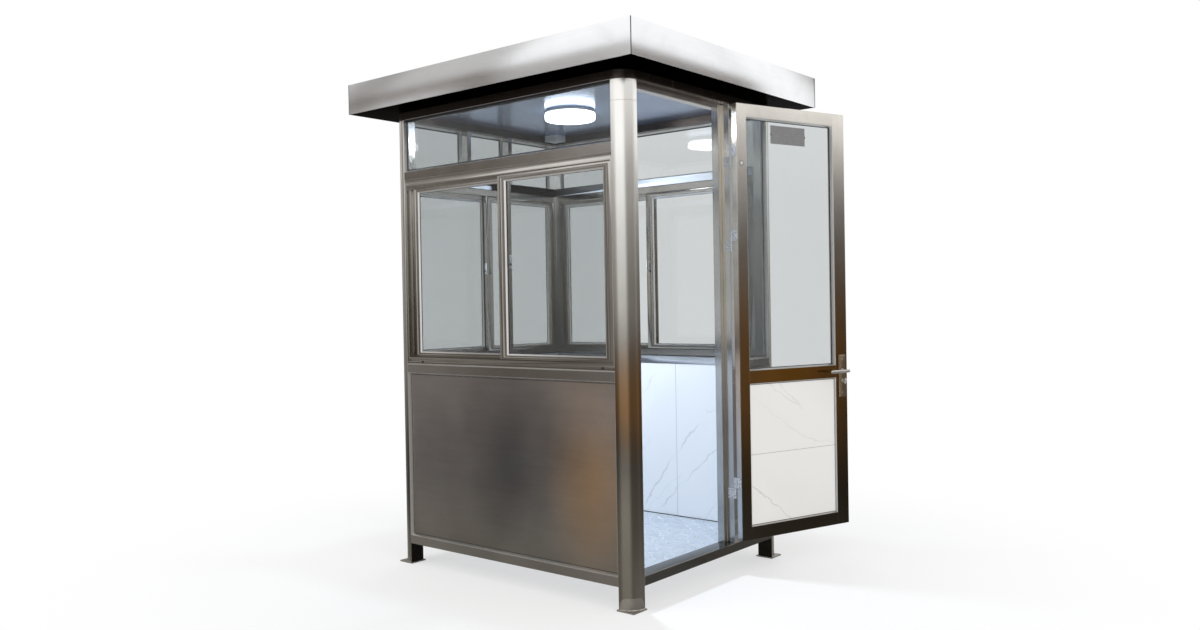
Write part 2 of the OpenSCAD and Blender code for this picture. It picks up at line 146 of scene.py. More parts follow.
class Nodes:
    """Adds and joins nodes of one tree in few words."""

    def __init__(self, tree: Tree) -> None:
        """Keeps the tree that nodes are added to."""
        self.tree = tree

    def add(self, kind: str, inputs: dict | None = None, **settings: object) -> bpy.types.Node:
        """Adds one node.

        Args:
            kind: Blender's name of the node type.
            inputs: Value or socket for each input, by name or number.
            settings: The node's own properties.

        Returns:
            The new node.
        """
        node = self.tree.nodes.new(kind)
        for name, value in settings.items():
            setattr(node, name, value)
        self.feed(node, inputs or {})
        return node

    def feed(self, node: bpy.types.Node, inputs: dict) -> None:
        """Joins a node's inputs to sockets, or sets their plain values.

        Args:
            node: The node.
            inputs: Value or socket for each input, by name or number.
        """
        for key, value in inputs.items():
            socket = node.inputs[key]
            if isinstance(value, Socket):
                self.tree.links.new(value, socket)
            elif isinstance(value, tuple) and len(value) == 3 and socket.type == "RGBA":
                socket.default_value = (*value, 1.0)
            else:
                socket.default_value = value

    def math(self, kind: str, a: object, b: object = 0.0, clamp: bool = False) -> Socket:
        """Returns the result of one sum on two values."""
        return self.add("ShaderNodeMath", {0: a, 1: b}, operation=kind, use_clamp=clamp).outputs[0]

    def times(self, *factors: object) -> Socket:
        """Returns the product of values."""
        return reduce(partial(self.math, "MULTIPLY"), factors)

    def plus(self, *terms: object) -> Socket:
        """Returns the sum of values."""
        return reduce(partial(self.math, "ADD"), terms)

    def highest(self, *values: object) -> Socket:
        """Returns the highest of values."""
        return reduce(partial(self.math, "MAXIMUM"), values)

    def vector(self, kind: str, a: object, b: object = (0.0, 0.0, 0.0)) -> bpy.types.NodeOutputs:
        """Returns the results of one sum on two vectors."""
        return self.add("ShaderNodeVectorMath", {0: a, 1: b}, operation=kind).outputs

    def xyz(self, x: object = 0.0, y: object = 0.0, z: object = 0.0) -> Socket:
        """Returns the vector of three values."""
        return self.add("ShaderNodeCombineXYZ", {0: x, 1: y, 2: z}).outputs[0]

    def split(self, vector: object) -> bpy.types.NodeOutputs:
        """Returns the X, Y and Z of a vector."""
        return self.add("ShaderNodeSeparateXYZ", {0: vector}).outputs

    def blend(self, share: object, a: object, b: object) -> Socket:
        """Returns colour a turned into colour b by a share."""
        return self.add("ShaderNodeMix", {0: share, 6: a, 7: b}, data_type="RGBA").outputs[2]

    def span(self, value: object, low: float, high: float, out_low: float = 0.0,
             out_high: float = 1.0, smooth: bool = True) -> Socket:
        """Returns a value carried from one span to another, held at its ends."""
        kind = "SMOOTHSTEP" if smooth else "LINEAR"
        names = {"Value": value, "From Min": low, "From Max": high, "To Min": out_low, "To Max": out_high}
        return self.add("ShaderNodeMapRange", names, interpolation_type=kind).outputs[0]

    def noise(self, vector: object, scale: object, detail: float = 2.0, rough: float = 0.5,
              twist: float = 0.0) -> Socket:
        """Returns smooth noise from 0 to 1."""
        names = {"Vector": vector, "Scale": scale, "Detail": detail, "Roughness": rough, "Distortion": twist}
        return self.add("ShaderNodeTexNoise", names).outputs[0]

    def relief(self, height: object, strength: float, distance: float) -> Socket:
        """Returns the normal of a faint relief."""
        names = {"Strength": strength, "Distance": distance, "Height": height}
        return self.add("ShaderNodeBump", names).outputs[0]


def new_group(name: str, values: dict[str, float],
              outputs: Sequence[str]) -> tuple[Nodes, dict, bpy.types.Node]:
    """Starts a shader node group that reads a vector and gives plain values.

    Args:
        name: Name of the group.
        values: Starting value of each further input, by name.
        outputs: Names of the outputs.

    Returns:
        The group's helper, its input sockets by name and its output node.
    """
    tree = bpy.data.node_groups.new(name, "ShaderNodeTree")
    tree.interface.new_socket("Vector", in_out="INPUT", socket_type="NodeSocketVector")
    for label, start in values.items():
        socket = tree.interface.new_socket(label, in_out="INPUT", socket_type="NodeSocketFloat")
        socket.default_value = start
    for label in outputs:
        tree.interface.new_socket(label, in_out="OUTPUT", socket_type="NodeSocketFloat")
    nodes = Nodes(tree)
    given = nodes.add("NodeGroupInput").outputs
    return nodes, {o.name: o for o in given if o.name}, nodes.add("NodeGroupOutput")


def grain_group() -> Tree:
    """Builds the brushed grain: fine scratches along X, broader streaks, and soft patches."""
    n, given, out = new_group("brushed_grain", {"Scratch": 1800.0, "Stretch": 0.012, "Patch": 2.6},
                              ("Fine", "Streak", "Patchy"))
    x, y, z = n.split(given["Vector"])
    along = n.times(x, given["Stretch"])
    n.feed(out, {"Fine": n.noise(n.xyz(along, y, z), given["Scratch"], 3.0, 0.6),
                 "Streak": n.noise(n.xyz(n.times(along, 6.0), y, z), 46.0, 4.0, 0.65),
                 "Patchy": n.noise(given["Vector"], given["Patch"], 2.0, 0.45, 0.3)})
    return n.tree


def marks_group() -> Tree:
    """Builds handling marks: soft smears and a few small specks, as masks."""
    n, given, out = new_group("handling_marks", {"Amount": 0.5}, ("Smear", "Speck"))
    smear = n.span(n.noise(given["Vector"], 5.5, 5.0, 0.62, 0.9), 0.48, 0.78)
    cells = n.add("ShaderNodeTexVoronoi", {"Vector": given["Vector"], "Scale": 26.0}).outputs[0]
    rare = n.span(n.noise(given["Vector"], 9.0), 0.58, 0.66)
    n.feed(out, {"Smear": n.times(smear, given["Amount"]),
                 "Speck": n.times(n.span(cells, 0.05, 0.015), rare, given["Amount"])})
    return n.tree


def vein_group() -> Tree:
    """Builds marble veins: long thin broken lines along X over a cloudy ground, as masks."""
    n, given, out = new_group("marble_veins", {"Run": 0.12, "Width": 0.02}, ("Vein", "Hair", "Cloud"))
    x, y, z = n.split(given["Vector"])
    shaky = n.span(n.noise(given["Vector"], 13.0, 3.0, 0.6), 0.2, 0.8, -0.016, 0.016, False)
    drawn = n.xyz(n.times(x, given["Run"]), y, n.plus(z, shaky))

    def line(scale: float, level: float, width: object, cell: float, gap: float) -> Socket:
        """Returns thin broken lines where a noise crosses a level."""
        ridge = n.math("ABSOLUTE", n.math("SUBTRACT", n.noise(drawn, scale, 0.0), level))
        broken = n.span(n.noise(given["Vector"], cell, 1.0), gap, gap + 0.1)
        return n.times(n.span(ridge, width, 0.0), broken)

    n.feed(out, {"Vein": line(3.4, 0.5, given["Width"], 3.6, 0.42),
                 "Hair": line(6.1, 0.46, n.times(given["Width"], 0.8), 2.7, 0.46),
                 "Cloud": n.noise(drawn, 2.1, 3.0, 0.5)})
    return n.tree


class Effects:
    """The shader node groups that materials share, each built once."""

    _built: dict[Callable[[], Tree], Tree] = {}

    @classmethod
    def place(cls, nodes: Nodes, maker: Callable[[], Tree], inputs: dict) -> list:
        """Places a group in a material.

        Args:
            nodes: The material's node helper.
            maker: The function that builds the group.
            inputs: The group's values in this material.

        Returns:
            The group's output sockets.
        """
        if maker not in cls._built:
            cls._built[maker] = maker()
        return list(nodes.add("ShaderNodeGroup", inputs, node_tree=cls._built[maker]).outputs)


def start_material(name: str) -> tuple[bpy.types.Material, Nodes, bpy.types.Node, Socket]:
    """Starts a node material.

    Args:
        name: The material's name.

    Returns:
        The material, its node helper, its Principled node and its Object coordinates.
    """
    material = bpy.data.materials.new(name)
    material.use_nodes = True
    nodes = Nodes(material.node_tree)
    coords = nodes.add("ShaderNodeTexCoord").outputs["Object"]
    return material, nodes, material.node_tree.nodes["Principled BSDF"], coords


def turned_back(nodes: Nodes, vector: object, *turns: Sequence[float]) -> Socket:
    """Carries coordinates onto a piece's own axes.

    Args:
        nodes: The material's node helper.
        vector: The coordinates.
        turns: How far the axes are turned about X, Y and Z, in radians, in order.

    Returns:
        The vector socket.
    """
    for turn in turns:
        vector = nodes.add("ShaderNodeMapping", {"Vector": vector, "Rotation": turn},
                           vector_type="TEXTURE").outputs[0]
    return vector


def scaled(tone: Colour, gain: float) -> Colour:
    """Returns a tone made lighter or darker."""
    return tuple(gain * c for c in tone)


MIDDLE = (0.3, 0.7)
"""The span in which most of a noise lies."""

GRAIN_TILT = {Along.U: (), Along.D: ((0.0, 0.0, math.pi / 2),), Along.Z: ((0.0, -math.pi / 2, 0.0),)}
"""The turns that lay the grain, which runs along X, on another axis."""


@dataclass(frozen=True)
class PaintedReflection:
    """A soft patch painted on steel towards another tone: a painted reflection of the surroundings, darker,
    warm or pale.
    """

    tone: Colour
    share: float
    centre: tuple[float, float, float]
    reach: float
    squash: tuple[float, float, float] = (1.0, 1.0, 1.0)

    def lay(self, n: Nodes, coords: object, tone: object) -> Socket:
        """Blends the patch into a tone.

        Args:
            n: The material's node helper.
            coords: Object coordinates.
            tone: The tone to start from.

        Returns:
            The blended tone's socket.
        """
        out = n.vector("MULTIPLY", n.vector("SUBTRACT", coords, self.centre)[0], self.squash)[0]
        away = n.vector("LENGTH", out)["Value"]
        return n.blend(n.times(n.span(away, self.reach, 0.0), self.share), tone, self.tone)


@dataclass(frozen=True)
class BrushedSteel:
    """Stainless steel with a brushed grain and painted reflections: painted lighter at the top and darker
    near the ground.
    """

    # high and low are painted reflection: lighter at the top and darker near the ground
    high: Colour = (0.60, 0.585, 0.56)
    low: Colour = (0.30, 0.27, 0.235)
    low_z: float = 0.15
    high_z: float = 2.2
    curve: float = 1.3
    along: Along = Along.U
    turn: float = 0.0
    roughness: float = 0.30
    anisotropy: float = 0.6
    streak: float = 0.045
    patch: float = 0.12
    painted_reflections: tuple[PaintedReflection, ...] = ()
    metallic: float = 1.0
    bump: float = 0.03
    grazing: float = 1.0
    scratch: float = 0.05
    upright_turn: float = 0.25

    def build(self, name: str) -> bpy.types.Material:
        """Builds the material."""
        material, n, shader, coords = start_material(name)
        vector = turned_back(n, coords, (0, 0, self.turn), *GRAIN_TILT[self.along])
        fine, streak, patchy = Effects.place(n, grain_group, {"Vector": vector})
        smear, speck = Effects.place(n, marks_group, {"Vector": coords, "Amount": 0.6})
        # Painted reflection: the tone runs from the dark low colour near the ground to the light high one at
        # the top, and the painted reflection patches are laid on it
        height = n.span(n.split(coords)[2], self.low_z, self.high_z, smooth=False)
        tone = n.blend(n.math("POWER", height, self.curve), self.low, self.high)
        for reflection in self.painted_reflections:
            tone = reflection.lay(n, coords, tone)
        gain = n.plus(n.span(streak, 0.25, 0.75, -self.streak, self.streak, False),
                      n.span(patchy, *MIDDLE, -self.patch, self.patch, False), 1.0,
                      n.span(fine, *MIDDLE, -self.scratch, self.scratch, False))
        gain = n.math("SUBTRACT", gain, n.times(smear, 0.07))
        shade = n.add("ShaderNodeVectorMath", {0: tone, "Scale": gain}, operation="SCALE").outputs[0]
        low, high = self.roughness - self.scratch, self.roughness + self.scratch
        rough = n.plus(n.span(fine, *MIDDLE, low, high, False), n.times(smear, 0.08), n.times(speck, 0.2))
        n.feed(shader, {"Base Color": shade, "Roughness": rough, "Metallic": self.metallic,
                        "Anisotropic": self.anisotropy, "Specular Tint": (self.grazing,) * 3,
                        "Anisotropic Rotation": self.upright_turn if self.along is Along.Z else 0.0,
                        "Tangent": n.xyz(z=1.0), "Normal": n.relief(fine, self.bump, 0.4 * MM)})
        return material


@dataclass(frozen=True)
class PlainMetal:
    """A metal without a drawn grain: polished, cast, galvanised or painted."""

    tone: Colour
    second: Colour
    roughness: float = 0.16
    metallic: float = 1.0
    cell: float = 60.0
    bump: float = 0.04
    marks: float = 0.8

    def build(self, name: str) -> bpy.types.Material:
        """Builds the material."""
        material, n, shader, coords = start_material(name)
        smear, speck = Effects.place(n, marks_group, {"Vector": coords, "Amount": self.marks})
        grain = n.noise(coords, self.cell, 3.0, 0.55)
        tone = n.blend(n.span(grain, 0.35, 0.65), self.tone, self.second)
        rough = n.span(grain, *MIDDLE, self.roughness, self.roughness + 0.06, False)
        n.feed(shader, {"Base Color": n.blend(n.times(speck, 0.4), tone, self.second),
                        "Roughness": n.plus(rough, n.times(smear, 0.1)), "Metallic": self.metallic,
                        "Normal": n.relief(grain, self.bump, 0.6 * MM)})
        return material


@dataclass(frozen=True)
class MoldedPlastic:
    """Plastic, rubber or opal acrylic with a faint moulded texture, and light of its own if any."""

    tone: Colour = (0.86, 0.87, 0.88)
    roughness: float = 0.42
    cell: float = 700.0
    bump: float = 0.06
    glow: float = 0.0
    glow_tone: Colour = (0.93, 0.97, 1.0)

    def build(self, name: str) -> bpy.types.Material:
        """Builds the material."""
        material, n, shader, coords = start_material(name)
        pores = n.noise(coords, self.cell, 2.0, 0.5)
        smear = Effects.place(n, marks_group, {"Vector": coords, "Amount": 0.7})[0]
        rough = n.span(pores, *MIDDLE, self.roughness - 0.05, self.roughness + 0.08, False)
        n.feed(shader, {"Base Color": n.blend(n.times(smear, 0.5), self.tone, scaled(self.tone, 0.88)),
                        "Roughness": rough, "Normal": n.relief(pores, self.bump, 0.5 * MM)})
        if self.glow:
            n.feed(shader, {"Emission Color": self.glow_tone, "Emission Strength": self.glow})
        return material


@dataclass(frozen=True)
class MarbleBoard:
    """White glossy board printed with grey marble veins."""

    turn: float = 0.0
    lean: float = 0.85
    ground: Colour = (0.925, 0.945, 0.98)
    vein: Colour = (0.40, 0.41, 0.43)

    def build(self, name: str) -> bpy.types.Material:
        """Builds the material."""
        material, n, shader, coords = start_material(name)
        laid = turned_back(n, coords, (0, 0, self.turn))
        slanted = n.add("ShaderNodeMapping", {"Vector": laid, "Rotation": (0.0, self.lean, 0.0)}).outputs[0]
        vein, hair, cloud = Effects.place(n, vein_group, {"Vector": slanted, "Width": 0.0065})
        ground = n.blend(n.span(cloud, 0.35, 0.7), self.ground, scaled(self.ground, 0.95))
        veined = n.blend(n.times(vein, 0.42), ground, self.vein)
        smear = Effects.place(n, marks_group, {"Vector": coords, "Amount": 1.0})[0]
        n.feed(shader, {"Base Color": n.blend(n.times(hair, 0.32), veined, scaled(self.vein, 1.35)),
                        "Roughness": n.span(smear, 0.0, 1.0, 0.22, 0.25, False),
                        "Normal": n.relief(n.noise(coords, 14.0, 2.0), 0.03, 2 * MM)})
        return material


@dataclass(frozen=True)
class ClearGlass:
    """Float glass with a grey-green tint, darker than clear glass: painted shade for the darker surroundings
    seen through it. Lamps shine through it.
    """

    # Painted shade: the tint darkens what is seen through the panes
    tint: Colour = (0.63, 0.655, 0.66)

    def build(self, name: str) -> bpy.types.Material:
        """Builds the material."""
        material, n, shader, coords = start_material(name)
        smear = Effects.place(n, marks_group, {"Vector": coords, "Amount": 1.0})[0]
        n.feed(shader, {"Base Color": n.blend(n.times(smear, 0.25), self.tint, scaled(self.tint, 0.93)),
                        "Roughness": 0.0, "Transmission Weight": 1.0, "IOR": 1.45})
        path = n.add("ShaderNodeLightPath").outputs
        open_to = n.highest(path["Is Shadow Ray"], path["Is Diffuse Ray"])
        through = n.add("ShaderNodeBsdfTransparent", {"Color": scaled(self.tint, 0.95)})
        mixed = n.add("ShaderNodeMixShader", {0: open_to, 1: shader.outputs[0], 2: through.outputs[0]})
        n.feed(material.node_tree.nodes["Material Output"], {"Surface": mixed.outputs[0]})
        return material


class Finish(Enum):
    """Every finish that a piece can wear."""

    POST = "post_steel"
    POST_CLEANED = "post_cleaned"
    POST_INNER = "post_inner_steel"
    RAIL_X = "rail_steel_x"
    RAIL_Y = "rail_steel_y"
    INNER_X = "inner_rail_steel_x"
    INNER_Y = "inner_rail_steel_y"
    UPRIGHT = "upright_steel"
    HEADER_X = "header_steel_x"
    HEADER_Y = "header_steel_y"
    PANEL_X = "panel_steel_x"
    PANEL_Y = "panel_steel_y"
    FASCIA_X = "fascia_steel_x"
    FASCIA_Y = "fascia_steel_y"
    SOFFIT = "soffit_steel"
    WINDOW_X = "window_steel_x"
    WINDOW_Y = "window_steel_y"
    WINDOW_Z = "window_steel_z"
    DOOR_U = "door_steel_u"
    DOOR_Z = "door_steel_z"
    DOOR_EDGE = "door_edge_steel"
    DOOR_OUTER_U = "door_outer_steel_u"
    DOOR_OUTER_Z = "door_outer_steel_z"
    DOOR_PANEL = "door_panel_steel"
    BEAD = "bead_steel"
    BEAD_DOOR = "bead_steel_door"
    RUBBER = "seal_rubber"
    JOINT = "board_joint"
    BRIGHT = "polished_steel"
    LOCK = "lock_plate_steel"
    LATCH = "cast_latch_metal"
    HINGE = "hinge_steel"
    DARK = "dark_grey_metal"
    PLATE = "grey_plate"
    TREAD = "tread_aluminium"
    TREAD_BAR = "tread_bar_aluminium"
    MARBLE_X = "marble_board_x"
    MARBLE_Y = "marble_board_y"
    MARBLE_DOOR = "marble_board_door"
    CEILING = "ceiling_sheet"
    GLASS = "clear_float_glass"
    LAMP = "opal_diffuser"
    PLASTIC = "white_plastic"
    GALVANISED = "galvanised_steel"
    WELD = "weld_steel"
    SEAM = "dark_seam_steel"
    STOP = "stop_steel"


class Palette:
    """Builds each finish when a piece first asks for it."""

    def __init__(self, door_turn: float) -> None:
        """Describes every finish.

        Args:
            door_turn: How far the door's own axes are turned about Z, in radians.
        """
        # Painted reflection on the steels below: their high and low tones make them lighter at the top and
        # darker near the ground
        rail = BrushedSteel(high=(0.52, 0.495, 0.475), low=(0.27, 0.252, 0.225), roughness=0.17,
                            anisotropy=0.0, streak=0.03, bump=0.006)
        window = replace(rail, high=(0.58, 0.56, 0.53), low=(0.28, 0.26, 0.23), low_z=1.0, high_z=2.0,
                         curve=1.0, roughness=0.15, streak=0.02)
        # Painted reflections on the front panel: dark patches in the middle and on the left, a warm bronze
        # one low on the right, a pale one high on the right; the panel is painted dark overall
        panel_reflections = (PaintedReflection((0.10, 0.10, 0.105), 0.85, (0.03, -0.61, 0.57), 0.50, (1.2, 1.0, 0.95)),
                  PaintedReflection((0.12, 0.12, 0.125), 0.45, (-0.48, -0.61, 0.54), 0.42),
                  PaintedReflection((0.52, 0.33, 0.18), 0.72, (0.52, -0.61, 0.52), 0.32, (1.0, 1.0, 0.62)),
                  PaintedReflection((0.50, 0.41, 0.35), 0.7, (0.48, -0.61, 0.92), 0.30))
        panel = BrushedSteel(high=(0.34, 0.31, 0.298), low=(0.235, 0.22, 0.19), low_z=0.15, high_z=0.95,
                             curve=1.0, roughness=0.33, anisotropy=0.75, patch=0.16, painted_reflections=panel_reflections)
        # Painted highlight: the fascia is near white and a little cool
        fascia = BrushedSteel(high=(0.955, 0.968, 0.985), low=(0.935, 0.948, 0.965), low_z=2.2, high_z=2.42,
                              curve=1.0, roughness=0.20, anisotropy=0.6, streak=0.015, patch=0.03,
                              bump=0.015)
        header = BrushedSteel(high=(0.13, 0.105, 0.088), low=(0.10, 0.084, 0.074), low_z=2.2, high_z=2.3,
                              curve=1.0, roughness=0.22)
        # Painted reflection on the door: its inner side runs from near white at the top to near black low,
        # with a painted warm brown reflection; the outer side has a milder painted gradient
        door = replace(rail, turn=door_turn, high=(0.86, 0.82, 0.76), low=(0.046, 0.038, 0.026), low_z=0.1,
                       high_z=2.22, curve=3.2, roughness=0.2, bump=0.012,
                       painted_reflections=(PaintedReflection((0.26, 0.115, 0.016), 0.95, (0.867, 0.515, 1.0), 0.8),))
        outer = replace(door, high=(0.70, 0.68, 0.65), low=(0.19, 0.175, 0.15), curve=1.3, painted_reflections=())
        # Painted reflection on the posts: near white at the top and dark low, with a painted dark patch and a
        # painted warm brown reflection on the near post, and a painted dark patch low on the left post
        post = BrushedSteel(high=(0.98, 0.965, 0.93), low=(0.175, 0.16, 0.13), curve=2.3, high_z=2.0,
                            along=Along.Z, roughness=0.2, anisotropy=0.3, streak=0.02, patch=0.05,
                            painted_reflections=(PaintedReflection((0.032, 0.029, 0.025), 0.93, (0.62, -0.62, 0.83), 0.48),
                                    PaintedReflection((0.40, 0.20, 0.065), 0.78, (0.80, -0.46, 0.90), 0.36),
                                    PaintedReflection((0.035, 0.031, 0.026), 0.85, (-0.78, -0.60, 0.45), 0.55)))
        # Painted light: the inner rails are pale and bluish, as lit by the room lamp
        inner = replace(rail, high=(0.66, 0.69, 0.74), low=(0.60, 0.63, 0.68), metallic=0.55,
                        roughness=0.22)
        marble = MarbleBoard()
        bead = BrushedSteel(high=(0.78, 0.78, 0.77), low=(0.56, 0.55, 0.53), roughness=0.34, anisotropy=0.0,
                            streak=0.03, patch=0.06)
        self._recipes = {
            Finish.POST: post,
            Finish.POST_CLEANED: replace(post, low=(0.30, 0.285, 0.25), roughness=0.5, anisotropy=0.0,
                                         patch=0.2, bump=0.2, painted_reflections=()),
            # Painted shade: the posts' inner faces are near black low
            Finish.POST_INNER: replace(post, low=(0.022, 0.020, 0.016), low_z=0.3, painted_reflections=()),
            Finish.RAIL_X: rail,
            # Painted shade: the side rails are darker low
            Finish.RAIL_Y: replace(rail, along=Along.D, low=(0.075, 0.069, 0.058)),
            Finish.INNER_X: inner,
            Finish.INNER_Y: replace(inner, along=Along.D),
            # Painted light: the uprights are bluish and lighter low, as lit from inside
            Finish.UPRIGHT: replace(rail, along=Along.Z, high=(0.62, 0.60, 0.57), low=(0.40, 0.405, 0.41),
                                    curve=1.5),
            Finish.HEADER_X: header,
            Finish.HEADER_Y: replace(header, along=Along.D),
            Finish.PANEL_X: panel,
            Finish.PANEL_Y: replace(panel, along=Along.D, painted_reflections=()),
            Finish.FASCIA_X: fascia,
            Finish.FASCIA_Y: replace(fascia, along=Along.D),
            # Painted shade: the soffit is near black, and its grazing reflection is cut down
            Finish.SOFFIT: BrushedSteel(high=(0.022, 0.019, 0.018), low=(0.022, 0.019, 0.018),
                                        roughness=0.12, anisotropy=0.3, patch=0.4, grazing=0.2),
            Finish.WINDOW_X: window,
            Finish.WINDOW_Y: replace(window, along=Along.D),
            Finish.WINDOW_Z: replace(window, along=Along.Z),
            Finish.DOOR_U: door,
            Finish.DOOR_OUTER_U: outer,
            Finish.DOOR_OUTER_Z: replace(outer, along=Along.Z),
            Finish.DOOR_PANEL: replace(panel, turn=door_turn, painted_reflections=()),
            Finish.DOOR_Z: replace(door, along=Along.Z),
            # Painted reflection: the door's edge is pale and bluish low
            Finish.DOOR_EDGE: replace(door, along=Along.Z, low=(0.50, 0.51, 0.52), curve=1.2),
            Finish.BEAD: bead,
            Finish.BEAD_DOOR: replace(bead, turn=door_turn),
            Finish.JOINT: MoldedPlastic(tone=(0.42, 0.42, 0.43), roughness=0.6),
            Finish.RUBBER: MoldedPlastic(tone=(0.018, 0.018, 0.02), roughness=0.6),
            Finish.BRIGHT: PlainMetal((0.62, 0.61, 0.59), (0.50, 0.49, 0.48)),
            Finish.DARK: PlainMetal((0.20, 0.20, 0.21), (0.15, 0.15, 0.16), roughness=0.35, metallic=0.6),
            Finish.PLATE: PlainMetal((0.27, 0.27, 0.275), (0.24, 0.24, 0.245), roughness=0.4, metallic=0.3,
                                     cell=90.0),
            # Painted light: the tread is tinted blue as lit by the room lamp, and its bars are lighter as
            # painted highlights
            Finish.TREAD: PlainMetal((0.66, 0.71, 0.78), (0.58, 0.63, 0.70), roughness=0.36, metallic=0.45,
                                     cell=24.0, bump=0.1),
            Finish.TREAD_BAR: PlainMetal((0.88, 0.91, 0.95), (0.80, 0.83, 0.87), roughness=0.22,
                                         metallic=0.45),
            Finish.MARBLE_X: marble,
            Finish.MARBLE_Y: replace(marble, turn=math.pi / 2),
            Finish.MARBLE_DOOR: replace(marble, turn=door_turn, lean=0.62, ground=(0.985, 0.965, 0.935)),
            # Painted light: the ceiling sheet is tinted blue as by the lamp's glow
            Finish.CEILING: PlainMetal((0.27, 0.37, 0.58), (0.24, 0.34, 0.54), roughness=0.19, metallic=0.7,
                                       cell=5.0, bump=0.03, marks=0.2),
            Finish.LATCH: PlainMetal((0.90, 0.91, 0.93), (0.74, 0.75, 0.77), roughness=0.3, metallic=0.35,
                                     cell=90.0),
            Finish.HINGE: PlainMetal((0.60, 0.62, 0.65), (0.52, 0.54, 0.57), roughness=0.25, metallic=0.6,
                                     cell=90.0),
            # Painted reflection: the chrome lock plates are darkened and warm
            Finish.LOCK: PlainMetal((0.36, 0.29, 0.20), (0.30, 0.23, 0.155), roughness=0.10, cell=90.0,
                                    marks=0.4),
            Finish.GLASS: ClearGlass(),
            Finish.LAMP: MoldedPlastic(tone=(0.9, 0.9, 0.9), roughness=0.4, glow=9.0),
            Finish.PLASTIC: MoldedPlastic(),
            Finish.GALVANISED: PlainMetal((0.46, 0.47, 0.48), (0.34, 0.35, 0.36), roughness=0.42, cell=34.0,
                                          bump=0.05),
            Finish.WELD: PlainMetal((0.50, 0.47, 0.43), (0.28, 0.25, 0.22), roughness=0.4, cell=220.0,
                                    bump=0.5),
            Finish.SEAM: PlainMetal((0.14, 0.135, 0.14), (0.09, 0.088, 0.09), roughness=0.4, cell=220.0,
                                    bump=0.4),
            Finish.STOP: replace(rail, along=Along.Z, high=(0.98, 0.92, 0.79), low=(0.24, 0.215, 0.17),
                                 curve=1.1, roughness=0.4, anisotropy=0.3),
        }
        self._built: dict[Finish, bpy.types.Material] = {}

    def __getitem__(self, finish: Finish) -> bpy.types.Material:
        """Returns a finish's material."""
        if finish not in self._built:
            self._built[finish] = self._recipes[finish].build(finish.value)
        return self._built[finish]


# ---- Places and shapes ----


@dataclass(frozen=True)
class Box:
    """A box on a wall's own axes: u along the wall, d inwards from its outer face, z up."""

    u0: float
    u1: float
    d0: float
    d1: float
    z0: float
    z1: float

    def grown(self, **ends: float) -> "Box":
        """Returns this box with some of its ends moved by the given amounts."""
        return replace(self, **{name: getattr(self, name) + by for name, by in ends.items()})

    @property
    def mid_u(self) -> float:
        """Middle of the box along the wall."""
        return (self.u0 + self.u1) / 2

    @property
    def mid_z(self) -> float:
        """Middle height of the box."""
        return (self.z0 + self.z1) / 2


def mm(*pairs: tuple[float, float]) -> list[tuple[float, float]]:
    """Returns pairs of lengths in metres that were given in millimetres."""
    return [(a * MM, b * MM) for a, b in pairs]


def merged(node: str) -> bmesh.types.BMesh:
    """Returns a CAD node's mesh with its loose triangles joined."""
    bm = bmesh.new()
    bm.from_mesh(bpy.data.objects[node].data)
    bmesh.ops.remove_doubles(bm, verts=bm.verts, dist=1e-5)
    return bm


def solids(node: str) -> list[np.ndarray]:
    """Returns the points of each separate solid of a CAD node, in the row frame."""
    bm = merged(node)
    left, found = set(bm.verts), []
    while left:
        queue, group = [left.pop()], []
        while queue:
            vert = queue.pop()
            group.append(tuple(vert.co))
            near = {e.other_vert(vert) for e in vert.link_edges} & left
            left -= near
            queue.extend(near)
        found.append(np.array(group))
    bm.free()
    return found


@dataclass(frozen=True)
class Place:
    """Carries points from a wall's own axes, or the door's, to the row frame."""

    matrix: Matrix

    @classmethod
    def wall(cls, side: Side, reach: float) -> "Place":
        """Returns the place of a wall whose outer face lies at a distance from the middle."""
        turn = Matrix.Rotation(math.radians(90 * side.value), 4, "Z")
        return cls(turn @ Matrix.Translation((0, -reach, 0)))

    def swung(self, pin: Vector, angle: float) -> "Place":
        """Returns this place turned about an upright pin."""
        about = Matrix.Translation(pin) @ Matrix.Rotation(angle, 4, "Z") @ Matrix.Translation(-pin)
        return Place(about @ self.matrix)

    def at(self, u: float, d: float, z: float) -> Vector:
        """Returns a point in the row frame."""
        return self.matrix @ Vector((u, d, z))

    def heading(self, axis: Sequence[float]) -> Vector:
        """Returns a direction in the row frame."""
        return (self.matrix.to_3x3() @ Vector(axis)).normalized()

    def boxes(self, node: str) -> list[Box]:
        """Returns the box of each solid of a CAD node on this place's axes."""
        back = np.array(self.matrix.inverted())
        boxes = []
        for points in solids(node):
            local = points @ back[:3, :3].T + back[:3, 3]
            lo, hi = local.min(0), local.max(0)
            boxes.append(Box(*(float(v) for pair in zip(lo, hi) for v in pair)))
        return sorted(boxes, key=lambda b: (b.z0, b.u0))

    def box(self, node: str) -> Box:
        """Returns the box round a whole CAD node on this place's axes."""
        found = self.boxes(node)
        return Box(min(b.u0 for b in found), max(b.u1 for b in found), min(b.d0 for b in found),
                   max(b.d1 for b in found), min(b.z0 for b in found), max(b.z1 for b in found))

    def inside(self, node: str, depth: float) -> list[Box]:
        """Returns the boxes of a node's solids that lie in this wall.

        Args:
            node: The CAD node.
            depth: Thickness of the wall.

        Returns:
            The boxes, in order along the wall.
        """
        slack = 1 * MM
        return [b for b in self.boxes(node) if b.d0 > -slack and b.d1 < depth + slack]


LEVEL = Place(Matrix(((1, 0, 0, 0), (0, 0, 1, 0), (0, 1, 0, 0), (0, 0, 0, 1))))
"""A level place: u along X, z along Y and d upwards."""

UPRIGHT = Place(Matrix.Identity(4))
"""The row frame's own place: u along X, d along Y and z upwards."""


def dress(obj: Piece, body: Body, slot: Slot, replaces: Sequence[str] = ()) -> Piece:
    """Rides a piece on its body and hides the CAD nodes that it stands for."""
    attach(obj, body.value)
    if replaces:
        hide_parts(*replaces)
    return obj


